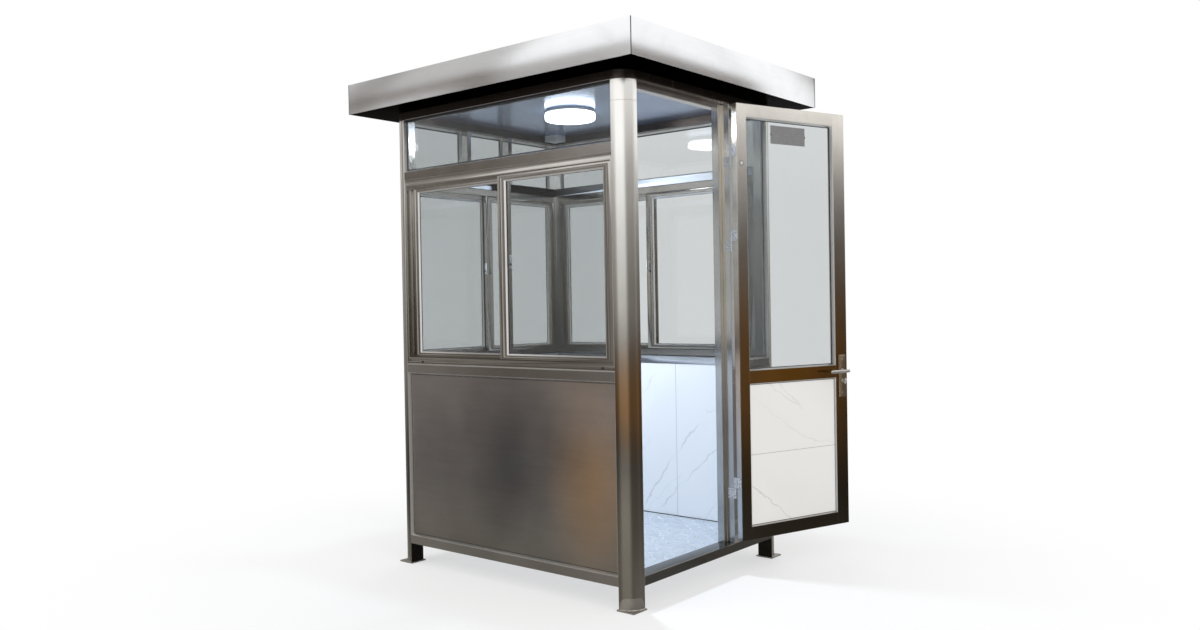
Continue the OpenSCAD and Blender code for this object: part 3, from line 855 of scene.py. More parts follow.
SHARP = math.radians(30)
"""The angle past which an edge is eased."""

FLAT = math.radians(0.4)
"""The angle below which neighbouring faces of a CAD mesh are one face."""

CRISP = math.radians(35)
"""The angle past which an edge isn't smoothed over."""


def to_object(name: str, bm: bmesh.types.BMesh, materials: Sequence[bpy.types.Material],
              chamfer: float = 0.0, segments: int = 1) -> Piece:
    """Finishes a mesh: eased edges, smooth curves and crisp corners.

    Args:
        name: The piece's name.
        bm: The mesh, which is freed.
        materials: Its materials, in order of their indices.
        chamfer: How much each sharp edge is cut back.
        segments: Steps across each eased edge.

    Returns:
        The new object.
    """
    sharp = [e for e in bm.edges if e.is_manifold and e.calc_face_angle(0.0) > SHARP]
    if chamfer and sharp:
        bmesh.ops.bevel(bm, geom=sharp, offset=chamfer, segments=segments, profile=0.5,
                        affect="EDGES", clamp_overlap=True)
    for face in bm.faces:
        face.smooth = True
    for edge in bm.edges:
        edge.smooth = not edge.is_manifold or edge.calc_face_angle(0.0) < CRISP
    mesh = bpy.data.meshes.new(name)
    bm.to_mesh(mesh)
    bm.free()
    for material in materials:
        mesh.materials.append(material)
    obj = bpy.data.objects.new(name, mesh)
    bpy.context.scene.collection.objects.link(obj)
    return obj


class Draft:
    """Collects closed shells and turns them into one finished piece."""

    def __init__(self) -> None:
        """Starts empty."""
        self.bm = bmesh.new()

    def shell(self, points: Sequence[Vector], faces: Iterable[tuple[Sequence[int], int]]) -> None:
        """Adds a closed shell.

        Args:
            points: Its points in the row frame.
            faces: Point numbers and a material index for each face.
        """
        verts = [self.bm.verts.new(p) for p in points]
        made = []
        for corners, index in faces:
            face = self.bm.faces.new([verts[i] for i in corners])
            face.material_index = index
            made.append(face)
        bmesh.ops.recalc_face_normals(self.bm, faces=made)

    def shift_faces(self, heading: Vector, step: int) -> None:
        """Moves the material index of the faces that look in one direction."""
        for face in self.bm.faces:
            if face.normal.dot(heading) > 0.7:
                face.material_index += step

    def block(self, place: Place, box: Box, index: int = 0) -> None:
        """Adds a box."""
        points = [place.at(u, d, z) for z in (box.z0, box.z1) for d in (box.d0, box.d1)
                  for u in (box.u0, box.u1)]
        sides = ((0, 1, 3, 2), (4, 6, 7, 5), (0, 4, 5, 1), (1, 5, 7, 3), (3, 7, 6, 2), (2, 6, 4, 0))
        self.shell(points, [(s, index) for s in sides])

    def ring(self, place: Place, box: Box, profile: Profile, widths: Sequence[float] = (1, 1, 1, 1),
             level: int = 0, upright: int = 0) -> None:
        """Adds a mitred frame round a rectangle.

        Args:
            place: The wall it is on.
            box: Its outer rectangle; the depths aren't read.
            profile: Closed outline as pairs of inset, in widths, and depth.
            widths: Width of the left, right, bottom and top members.
            level: Material index of the bottom and top members.
            upright: Material index of the left and right members.
        """
        left, right, bottom, top = widths
        points = []
        for inset, depth in profile:
            u0, u1 = box.u0 + inset * left, box.u1 - inset * right
            z0, z1 = box.z0 + inset * bottom, box.z1 - inset * top
            points += [place.at(u, depth, z) for u, z in ((u0, z0), (u1, z0), (u1, z1), (u0, z1))]
        count = len(profile)
        faces = []
        for i in range(count):
            j = (i + 1) % count
            for k in range(4):
                m = (k + 1) % 4
                index = level if k % 2 == 0 else upright
                faces.append(((4 * i + k, 4 * i + m, 4 * j + m, 4 * j + k), index))
        self.shell(points, faces)

    def lathe(self, place: Place, centre: Sequence[float], along: Along, profile: Profile,
              index: int = 0, steps: int = 32, squeeze: float = 1.0) -> None:
        """Adds a turned solid.

        Args:
            place: The wall it is on.
            centre: A point of its axis, as u, d and z.
            along: Direction of the axis.
            profile: Pairs of radius and distance along the axis, from one end to the other.
            index: Its material index.
            steps: Facets round the axis.
            squeeze: Width across the second direction as a share of the first.
        """
        axis = along.value
        side = Vector((0, 0, 1)) if along is not Along.Z else Vector((1, 0, 0))
        other = axis.cross(side)
        points = []
        for radius, run in profile:
            for k in range(steps):
                turn = 2 * math.pi * k / steps
                offset = side * math.cos(turn) * radius + other * math.sin(turn) * radius * squeeze
                points.append(place.at(*(Vector(centre) + axis * run + offset)))
        self.rings(points, steps, index)

    def rings(self, points: Sequence[Vector], steps: int, index: int = 0) -> None:
        """Joins equal rings of points into a closed tube with flat ends."""
        count = len(points) // steps
        faces = [(tuple(range(steps)), index), (tuple(range((count - 1) * steps, count * steps)), index)]
        for low in range(0, (count - 1) * steps, steps):
            for k in range(steps):
                m = (k + 1) % steps
                faces.append(((low + k, low + m, low + steps + m, low + steps + k), index))
        self.shell(points, faces)


def inner_face(centre: Vector, normal: Vector) -> int:
    """Picks index 1 for faces that look towards the booth's middle."""
    return int(normal.x * centre.x + normal.y * centre.y < -0.3)


def grain_along_wall(centre: Vector, normal: Vector) -> int:
    """Picks index 0 on front and back faces and 1 on side faces, with mitred corners on level ones."""
    if abs(normal.z) < 0.7:
        return int(abs(normal.x) > abs(normal.y))
    half_x, half_y = (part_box("base_rails")[1][i] for i in (0, 1))
    return int(half_x - abs(centre.x) < half_y - abs(centre.y))


def grain_and_side(centre: Vector, normal: Vector) -> int:
    """Picks a rail's grain, as grain_along_wall does, and adds 2 for faces that look into the room."""
    return grain_along_wall(centre, normal) + 2 * inner_face(centre, normal)


# ---- Repeated parts by geometry nodes ----


class GeometryTree:
    """Builds one geometry node tree and turns its result into plain pieces."""

    _kinds = {float: "NodeSocketFloat", int: "NodeSocketInt", type(None): "NodeSocketMaterial"}

    def __init__(self, name: str, inputs: dict[str, float | int | None]) -> None:
        """Starts the tree.

        Args:
            name: Name of the tree.
            inputs: Starting value for each named input, which is None for a material.
        """
        self.tree = bpy.data.node_groups.new(name, "GeometryNodeTree")
        face = self.tree.interface
        face.new_socket("Geometry", in_out="INPUT", socket_type="NodeSocketGeometry")
        self.ids: dict[str, str] = {}
        for label, start in inputs.items():
            socket = face.new_socket(label, in_out="INPUT", socket_type=self._kinds[type(start)])
            if start is not None:
                socket.default_value = start
            self.ids[label] = socket.identifier
        face.new_socket("Geometry", in_out="OUTPUT", socket_type="NodeSocketGeometry")
        self.nodes = Nodes(self.tree)
        self.given = self.nodes.add("NodeGroupInput").outputs
        self.out = self.nodes.add("NodeGroupOutput")

    def moved(self, part: object, lift: object, **scale: object) -> Socket:
        """Returns geometry raised by a height, and scaled first if a Scale is given."""
        names = {"Geometry": part, "Translation": self.nodes.xyz(z=lift), **scale}
        return self.nodes.add("GeometryNodeTransform", names).outputs[0]

    def joined(self, *parts: object) -> Socket:
        """Returns several geometries as one."""
        join = self.nodes.add("GeometryNodeJoinGeometry")
        for part in parts:
            self.nodes.feed(join, {0: part})
        return join.outputs[0]

    def worn(self, part: object, material: object) -> Socket:
        """Returns geometry in a material."""
        names = {"Geometry": part, "Material": material}
        return self.nodes.add("GeometryNodeSetMaterial", names).outputs[0]

    def finish(self, placed: object) -> None:
        """Realizes the instances as the tree's result."""
        real = self.nodes.add("GeometryNodeRealizeInstances", {0: placed})
        self.nodes.feed(self.out, {0: real.outputs[0]})

    def bake(self, name: str, mesh: bpy.types.Mesh, values: dict[str, object]) -> Piece:
        """Runs the tree on a mesh and keeps the result as a plain mesh.

        Args:
            name: The piece's name.
            mesh: What the tree starts from.
            values: The inputs' values, by name.

        Returns:
            The new object, with no modifier.
        """
        base = bpy.data.objects.new(f"{name}_points", mesh)
        bpy.context.scene.collection.objects.link(base)
        modifier = base.modifiers.new("repeat", "NODES")
        modifier.node_group = self.tree
        for label, value in values.items():
            modifier[self.ids[label]] = value
        graph = bpy.context.evaluated_depsgraph_get()
        made = bpy.data.meshes.new_from_object(base.evaluated_get(graph), depsgraph=graph)
        base.modifiers.remove(modifier)
        bpy.data.objects.remove(base)
        obj = bpy.data.objects.new(name, made)
        bpy.context.scene.collection.objects.link(obj)
        return obj


def point_mesh(name: str, points: Sequence[Vector], facing: Sequence[Vector]) -> bpy.types.Mesh:
    """Makes a mesh of single points, each with the direction that its part faces."""
    mesh = bpy.data.meshes.new(name)
    mesh.from_pydata([tuple(p) for p in points], [], [])
    attribute = mesh.attributes.new("facing", "FLOAT_VECTOR", "POINT")
    for item, direction in zip(attribute.data, facing):
        item.vector = direction
    return mesh


class ScrewTree(GeometryTree):
    """Sets a low domed screw head with a cross slot on every point."""

    def __init__(self) -> None:
        """Builds the tree."""
        super().__init__("screw_heads", {"Radius": 4 * MM, "Height": 1.6 * MM, "Head": None, "Slot": None})
        n, given = self.nodes, self.given
        radius, height = given["Radius"], given["Height"]

        def cone(foot: float, top: float, high: float) -> Socket:
            """Returns a cone by shares of the head's radius and height."""
            return n.add("GeometryNodeMeshCone", {
                "Vertices": 16, "Radius Top": n.times(radius, top), "Radius Bottom": n.times(radius, foot),
                "Depth": n.times(height, high)}).outputs["Mesh"]

        dome = self.moved(cone(0.9, 0.5, 0.4), n.times(height, 0.6))
        parts = [self.worn(self.joined(cone(1.0, 0.9, 0.6), dome), given["Head"])]
        long, thin, deep = (n.times(size, share) for size, share in
                            ((radius, 1.0), (radius, 0.22), (height, 0.3)))
        for size in (n.xyz(long, thin, deep), n.xyz(thin, long, deep)):
            bar = n.add("GeometryNodeMeshCube", {"Size": size}).outputs["Mesh"]
            parts.append(self.worn(self.moved(bar, n.times(height, 0.87)), given["Slot"]))
        facing = n.add("GeometryNodeInputNamedAttribute", {"Name": "facing"}, data_type="FLOAT_VECTOR")
        turn = n.add("FunctionNodeAlignRotationToVector", {"Vector": facing.outputs[0]}, axis="Z")
        points = n.add("GeometryNodeMeshToPoints", {"Mesh": given["Geometry"]})
        self.finish(n.add("GeometryNodeInstanceOnPoints", {
            "Points": points.outputs[0], "Instance": self.joined(*parts),
            "Rotation": turn.outputs[0]}).outputs[0])


class TreadTree(GeometryTree):
    """Lays low lens-shaped bars on a plate, each square to its neighbours."""

    def __init__(self) -> None:
        """Builds the tree."""
        super().__init__("tread_bars", {
            "Width": 1.3, "Depth": 1.0, "Columns": 30, "Rows": 24, "Bar Length": 34 * MM,
            "Bar Width": 9 * MM, "Bar Height": 1.8 * MM, "Top": 0.0, "Metal": None})
        n, given = self.nodes, self.given
        grid = n.add("GeometryNodeMeshGrid", {"Size X": given["Width"], "Size Y": given["Depth"],
                                              "Vertices X": given["Columns"], "Vertices Y": given["Rows"]})
        number = n.add("GeometryNodeInputIndex").outputs[0]
        column = n.math("FLOOR", n.math("DIVIDE", number, given["Rows"]))
        row = n.math("MODULO", number, given["Rows"])
        even = n.math("LESS_THAN", n.math("MODULO", n.plus(column, row), 2.0), 0.5)
        quarter = n.times(n.math("MODULO", column, 2.0), math.pi / 2)
        ball = n.add("GeometryNodeMeshUVSphere", {"Segments": 10, "Rings": 6, "Radius": 0.5}).outputs["Mesh"]
        size = n.xyz(given["Bar Length"], given["Bar Width"], n.times(given["Bar Height"], 2.0))
        smooth = n.add("GeometryNodeSetShadeSmooth", {"Geometry": self.moved(ball, 0.0, Scale=size)})
        placed = n.add("GeometryNodeInstanceOnPoints", {
            "Points": grid.outputs["Mesh"], "Selection": even, "Instance": smooth.outputs[0],
            "Rotation": n.xyz(z=n.plus(quarter, math.pi / 4))})
        self.finish(self.worn(self.moved(placed.outputs[0], given["Top"]), given["Metal"]))


# ---- Sub-assemblies ----


HINGE_SCREWS_D = (24 * MM, 24 * MM, 10 * MM)
"""Depths of a hinge leaf's three screws in the wall or the door."""


@dataclass
class Site:
    """What every sub-assembly shares: finishes, places and repeated parts."""

    palette: Palette
    walls: dict[Side, Place]
    door: Place
    thickness: float
    screws: ScrewTree

    @classmethod
    def survey(cls, frame: dict) -> "Site":
        """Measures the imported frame.


        Returns:
            The site.
        """
        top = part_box("base_rails")[1]
        walls = {side: Place.wall(side, top.x if side.value % 2 else top.y) for side in Side}
        swing = next(j for j in frame["joints"] if j["name"] == "door_swing")
        turned = -math.radians(swing["range_deg"][0])
        door = walls[Side.RIGHT].swung(Vector(swing["pos_m"]), turned)
        thickness = walls[Side.FRONT].box("front_lining").d1
        return cls(Palette(turned + math.pi / 2), walls, door, thickness, ScrewTree())

    def finishes(self, *wanted: Finish) -> list[bpy.types.Material]:
        """Returns the materials of several finishes."""
        return [self.palette[f] for f in wanted]


@dataclass
class Assembly:
    """A sub-assembly of the booth."""

    site: Site

    def piece(self, draft: Draft, name: str, slot: Slot, wanted: Sequence[Finish], chamfer: float = 0.0,
              replaces: Sequence[str] = (), segments: int = 1, body: Body = Body.ROOT) -> Piece:
        """Turns a draft into a dressed piece.

        Args:
            draft: The draft, which is used up.
            name: The piece's name.
            slot: The record slot of its finish; it is not used.
            wanted: Its finishes, in order of their indices.
            chamfer: How much each sharp edge is cut back.
            replaces: CAD nodes that it stands for.
            segments: Steps across each eased edge.
            body: The body it rides on.

        Returns:
            The new piece.
        """
        obj = to_object(name, draft.bm, self.site.finishes(*wanted), chamfer, segments)
        return dress(obj, body, slot, replaces)

    def eased(self, node: str, slot: Slot, wanted: Sequence[Finish], chamfer: float,
              pick: Callable[[Vector, Vector], int] | None = None, body: Body = Body.ROOT) -> Piece:
        """Stands a copy of a CAD node with eased edges in its place.

        Args:
            node: The CAD node.
            slot: The record slot of its finish; it is not used.
            wanted: Its finishes, in order of their indices.
            chamfer: How much each sharp edge is cut back.
            pick: Chooses a material index from a face's centre and normal.
            body: The body it rides on.

        Returns:
            The new piece.
        """
        bm = merged(node)
        bmesh.ops.dissolve_limit(bm, angle_limit=FLAT, verts=bm.verts, edges=bm.edges)
        bm.normal_update()
        for face in bm.faces:
            face.material_index = pick(face.calc_center_median(), face.normal) if pick else 0
        obj = to_object(f"{node}_eased", bm, self.site.finishes(*wanted), chamfer)
        return dress(obj, body, slot, (node,))

    def hinge_screws(self, name: str, node: str, place: Place, out: int, shares: Sequence[float],
                     body: Body = Body.ROOT) -> Piece:
        """Sets three screws in each hinge leaf of a CAD node.

        Args:
            name: The piece's name.
            node: The CAD node.
            place: The wall or the door.
            out: Which way along it the bare side of the leaves looks, 1 or -1.
            shares: Heights of the screws as shares of the leaf's height.
            body: The body they ride on.

        Returns:
            The new piece.
        """
        spots = [(place.at(box.mid_u, d, box.z0 + share * (box.z1 - box.z0)), place.heading((out, 0, 0)))
                 for box in place.boxes(node) for d, share in zip(HINGE_SCREWS_D, shares)]
        return self.screwed(name, body, spots)

    def wear(self, node: str, finish: Finish) -> Piece:
        """Gives a CAD node its finish."""
        obj = bpy.data.objects[node]
        obj.data.materials.clear()
        obj.data.materials.append(self.site.palette[finish])
        return obj

    def screwed(self, name: str, body: Body, spots: Sequence[tuple[Vector, Vector]],
                radius: float = 3.5 * MM, height: float = 0.8 * MM) -> Piece:
        """Sets screw heads.

        Args:
            name: The piece's name.
            body: The body it rides on.
            spots: Point and outward direction of each screw.
            radius: Radius of the heads.
            height: Height of the heads.

        Returns:
            The new piece.
        """
        mesh = point_mesh(f"{name}_spots", [s[0] for s in spots], [s[1] for s in spots])
        obj = self.site.screws.bake(name, mesh, {
            "Radius": radius, "Height": height, "Head": self.site.palette[Finish.BRIGHT],
            "Slot": self.site.palette[Finish.RUBBER]})
        return dress(obj, body, Slot.BRIGHT)

    def build(self) -> list[Piece]:
        """Builds and dresses its pieces, and returns them."""
        raise NotImplementedError


@dataclass
class CornerPosts(Assembly):
    """The four quarter-round posts with their foot plates and welds."""

    ease: float = 1.2 * MM
    weld_out: float = 3.4 * MM
    weld_up: float = 4.5 * MM
    ripple: float = 0.16
    sunk: float = 0.5 * MM
    patch_thick: float = 0.25 * MM
    arc_steps: int = 40
    plate_ease: float = 0.8 * MM
    ring_drop: float = 97 * MM
    patches: tuple[tuple[str, float, float, float], ...] = (
        ("post_front_right", 0.02, 0.98, 46 * MM), ("post_front_left", 0.3, 0.9, 22 * MM),
        ("post_back_right", 0.05, 0.6, 20 * MM))
    posts: tuple[str, ...] = ("post_front_left", "post_front_right", "post_back_right", "post_back_left")

    def arc(self, draft: Draft, node: str, outline: Callable[[int, float], Profile], start: float = 0.0,
            end: float = 1.0) -> None:
        """Lays a strip round a post's round side.

        Args:
            draft: The draft to add to.
            node: The post.
            outline: Gives the strip's four corners, as pairs of distance out and height, from the
                step's number and its share of the way.
            start: Where the strip starts round the post, from 0 to 1.
            end: Where it ends.
        """
        lo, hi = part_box(node)
        out = Vector((math.copysign(1, lo.x + hi.x), math.copysign(1, lo.y + hi.y), 0))
        centre = Vector((lo.x if out.x > 0 else hi.x, lo.y if out.y > 0 else hi.y, lo.z))
        points = []
        for k in range(self.arc_steps + 1):
            share = k / self.arc_steps
            angle = math.pi / 2 * (start + (end - start) * share)
            ray = Vector((out.x * math.cos(angle), out.y * math.sin(angle), 0))
            points += [centre + ray * (hi.x - lo.x + away) + Vector((0, 0, up))
                       for away, up in outline(k, share)]
        draft.rings(points, 4)

    def welds(self) -> Piece:
        """Lays a rippled weld round the foot of every post."""
        draft = Draft()

        def outline(k: int, share: float) -> Profile:
            """Returns the weld's section, which swells and shrinks along the way."""
            ripple = 1 + self.ripple * math.sin(k * 2.4)
            return ((-self.sunk, 0.0), (self.weld_out * ripple, 0.0),
                    (self.weld_out * 0.55 * ripple, self.weld_up * 0.55), (-self.sunk, self.weld_up * ripple))

        for node in self.posts:
            self.arc(draft, node, outline)
        return self.piece(draft, "foot_welds", Slot.FRAME, [Finish.WELD])

    def patch(self, node: str, start: float, end: float, high: float) -> Piece:
        """Lays the matte patch that is left where a post's weld was cleaned.

        Args:
            node: The post.
            start: Where it starts round the post, from 0 to 1.
            end: Where it ends.
            high: Its height in the middle.

        Returns:
            The new piece.
        """
        draft, foot, thick, sunk = Draft(), 4 * MM, self.patch_thick, 0.2 * MM

        def outline(k: int, share: float) -> Profile:
            """Returns the patch's section, which is lower towards both ends and uneven on top."""
            top = high * (1 - abs(2 * share - 1) ** 7) + 5 * MM + 1.0 * MM * math.sin(k * 1.7)
            return ((-sunk, foot), (thick, foot), (thick, top), (-sunk, top + 0.4 * MM))

        self.arc(draft, node, outline, start, end)
        return self.piece(draft, f"{node}_cleaned", Slot.POSTS, [Finish.POST_CLEANED])

    def ring_mark(self, node: str, height: float) -> Piece:
        """Scores the faint ring high on the near post."""
        draft = Draft()
        section = mm((-0.2, 0.0), (0.12, 0.3), (0.12, 1.1), (-0.2, 1.4))
        self.arc(draft, node, lambda k, share: [(away, height + up) for away, up in section])
        return self.piece(draft, f"{node}_ring_mark", Slot.POSTS, [Finish.WELD])

    def build(self) -> list[Piece]:
        """Builds the posts, plates and welds."""
        steel = (Finish.POST, Finish.POST_INNER)
        made = [self.eased(node, Slot.POSTS, steel, self.ease, inner_face) for node in self.posts]
        made.append(self.eased("foot_plates", Slot.FRAME, [Finish.WELD], self.plate_ease))
        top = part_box("post_front_right")[1].z
        made += [self.welds(), *(self.patch(*patch) for patch in self.patches),
                 self.ring_mark("post_front_right", top - self.ring_drop)]
        return made


@dataclass
class FrameRails(Assembly):
    """The base, sill, transom and header rails, the mullions and the floor bearers."""

    ease: float = 1.5 * MM
    header_ease: float = 1.0 * MM

    def build(self) -> list[Piece]:
        """Builds the rails."""
        rails = (Finish.RAIL_X, Finish.RAIL_Y)
        both = (*rails, Finish.INNER_X, Finish.INNER_Y)
        made = [self.eased("base_rails", Slot.FRAME, rails, self.ease, grain_along_wall)]
        made += [self.eased(node, Slot.FRAME, both, self.ease, grain_and_side)
                 for node in ("sill_rails", "transom_bars")]
        header = (Finish.HEADER_X, Finish.HEADER_Y)
        made.append(self.eased("header_ring", Slot.FRAME, header, self.header_ease, grain_along_wall))
        made.append(self.eased("left_mullions", Slot.FRAME, [Finish.UPRIGHT], self.ease))
        made.append(self.wear("floor_bearers", Finish.GALVANISED))
        draft = Draft()
        for side in WINDOWED:
            place = self.site.walls[side]
            for frame in place.boxes(f"{side.label}_window_frame"):
                draft.block(place, Box(frame.u0 + 1 * MM, frame.u1 - 1 * MM, -0.8 * MM, 3 * MM,
                                       frame.z0 - 4 * MM, frame.z0 + 2 * MM))
        made.append(self.piece(draft, "sill_trims", Slot.FRAME, [Finish.BEAD], 0.5 * MM))
        return made


@dataclass
class TreadFloor(Assembly):
    """The aluminium tread plate."""

    pitch: float = 55 * MM
    bar_long: float = 34 * MM
    bar_wide: float = 9 * MM
    bar_high: float = 1.8 * MM

    def build(self) -> list[Piece]:
        """Builds the plate's raised bars."""
        plate = self.wear("floor_plate", Finish.TREAD)
        lo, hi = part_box("floor_plate")
        step = self.pitch / math.sqrt(2)
        columns, rows = (int((hi[i] - lo[i] - self.bar_long) / step) + 1 for i in (0, 1))
        bars = TreadTree().bake("tread_bars", bpy.data.meshes.new("tread_start"), {
            "Width": (columns - 1) * step, "Depth": (rows - 1) * step, "Columns": columns, "Rows": rows,
            "Bar Length": self.bar_long, "Bar Width": self.bar_wide, "Bar Height": self.bar_high,
            "Top": hi.z, "Metal": self.site.palette[Finish.TREAD_BAR]})
        return [plate, dress(bars, Body.ROOT, Slot.TREAD)]


@dataclass
class Beading:
    """Sloped beads that hold a pane or panel, with a thin dark seal against it."""

    wide: float = 10 * MM
    nose: float = 1.5 * MM
    seal: float = 1.6 * MM
    proud: float = 0.5 * MM

    def lay(self, draft: Draft, place: Place, pane: Box, edge: float, face: float,
            index: int = 0, seal_index: int = 1) -> None:
        """Lays beads and a seal round a rectangle.

        Args:
            draft: The draft to add to.
            place: The wall.
            pane: The rectangle.
            edge: Depth of the beads' outer end.
            face: Depth of the pane's face that they lie on.
            index: Material index of the beads.
            seal_index: Material index of the seal.
        """
        toward = 1 if face > edge else -1
        near, tip = face - 0.05 * MM * toward, edge + self.proud * toward
        draft.ring(place, pane, ((0, tip), (self.nose, tip), (self.wide, near - 0.6 * MM * toward),
                                 (self.wide, near), (0, near)), level=index, upright=index)
        outer = self.wide + self.seal
        draft.ring(place, pane, ((self.wide, near - 0.9 * MM * toward), (outer, near - 0.4 * MM * toward),
                                 (outer, near), (self.wide, near)), level=seal_index, upright=seal_index)


@dataclass
class LowerWalls(Assembly):
    """The steel panels below the sills, their beads and the marble-look boards inside."""

    groove: float = 2.2 * MM
    joint_u: float = -0.175

    def panel(self, side: Side, node: str) -> list[Piece]:
        """Dresses one outer panel."""
        place = self.site.walls[side]
        steel = self.wear(node, side.choose(Finish.PANEL_X, Finish.PANEL_Y))
        draft = Draft()
        box = place.box(node)
        Beading().lay(draft, place, box, 0.0, box.d0)
        beads = self.piece(draft, f"{node}_beads", Slot.PANEL, [Finish.BEAD, Finish.RUBBER])
        return [steel, beads]

    def lining(self, side: Side, node: str, joints: Sequence[float]) -> list[Piece]:
        """Dresses one inner board and its joints."""
        place = self.site.walls[side]
        board = self.wear(node, side.choose(Finish.MARBLE_X, Finish.MARBLE_Y))
        box = place.box(node)
        draft = Draft()
        for u in joints:
            draft.block(place, replace(box, u0=u - self.groove / 2, u1=u + self.groove / 2,
                                       d0=box.d1 - 1 * MM, d1=box.d1 + 0.15 * MM))
        foot = replace(box, d0=box.d1 - 1 * MM, d1=box.d1 + 2.5 * MM, z1=box.z0 + 4 * MM)
        draft.block(place, foot, 1)
        trim = self.piece(draft, f"{node}_joints", Slot.LINING, [Finish.JOINT, Finish.RUBBER])
        return [board, trim]

    def build(self) -> list[Piece]:
        """Builds all the lower walls."""
        made = []
        for side in (*WINDOWED, Side.RIGHT):
            name, joints = ("side_light", []) if side is Side.RIGHT else (side.label, [self.joint_u])
            made += self.panel(side, f"{name}_panel")
            made += self.lining(side, f"{name}_lining", joints)
        return made


@dataclass
class SlidingWindow(Assembly):
    """One window of two sashes in a track frame."""

    side: Side = Side.FRONT

    def finishes(self) -> list[Finish]:
        """Returns its steel along the wall, its upright steel, its dark seal and its beads' steel."""
        level = self.side.choose(Finish.WINDOW_X, Finish.WINDOW_Y)
        return [level, Finish.WINDOW_Z, Finish.RUBBER, Finish.BEAD]

    def frame_piece(self, sash: Box) -> Piece:
        """Builds the grooved track frame and its ribs."""
        place, node = self.site.walls[self.side], f"{self.side.label}_window_frame"
        box = place.box(node)
        jamb, low, high = box.u1 - sash.u1, sash.z0 - box.z0, box.z1 - sash.z1
        face, back = box.d0, box.d1
        cut = 1.6 * MM
        draft = Draft()
        draft.ring(place, box, (
            (0, face), (0.28, face), (0.33, face + cut), (0.45, face + cut), (0.50, face), (1, face),
            (1, back), (0, back)),
            (jamb, jamb, low, high), 0, 1)
        rib_d = (min(b.d1 for b in self.sashes()), max(b.d0 for b in self.sashes()))
        for z0, z1 in ((sash.z0, sash.z0 + 10 * MM), (sash.z1 - 10 * MM, sash.z1)):
            draft.block(place, Box(box.u0 + jamb, box.u1 - jamb, *rib_d, z0, z1))
        return self.piece(draft, f"{self.side.label}_window_track", Slot.WINDOW, self.finishes(), 0.5 * MM,
                          (node,))

    def sashes(self) -> list[Box]:
        """Returns the boxes of the outer and inner sash."""
        return sorted(self.site.walls[self.side].boxes(f"{self.side.label}_sashes"), key=lambda b: b.d0)

    def sash_piece(self, label: str, box: Box, pane: Box) -> Piece:
        """Builds one sash with raised edges, its glazing beads and its seals."""
        place = self.site.walls[self.side]
        widths = (pane.u0 - box.u0, box.u1 - pane.u1, pane.z0 - box.z0, box.z1 - pane.z1)
        face, back, lip = box.d0, box.d1, 2.0 * MM
        draft = Draft()
        draft.ring(place, box, (
            (0, face + lip), (0.06, face), (0.56, face), (0.62, face + lip), (1, face + lip), (1, back - lip),
            (0.80, back - lip), (0.74, back), (0.06, back), (0, back - lip)), widths, 0, 1)
        beads = Beading(wide=8 * MM, nose=1 * MM)
        beads.lay(draft, place, pane, face + lip, pane.d0, 3, 2)
        beads.lay(draft, place, pane, back - lip, pane.d1, 3, 2)
        return self.piece(draft, f"{self.side.label}_sash_{label}", Slot.WINDOW, self.finishes(), 0.4 * MM,
                          (f"{self.side.label}_sashes",))

    def build(self) -> list[Piece]:
        """Builds the window."""
        place = self.site.walls[self.side]
        outer, inner = self.sashes()
        panes = place.inside("sash_glass", self.site.thickness)
        made = [self.frame_piece(outer)]
        for label, box in (("outer", outer), ("inner", inner)):
            pane = next(p for p in panes if box.d0 < p.d0 and p.d1 < box.d1)
            made.append(self.sash_piece(label, box, pane))
        return made


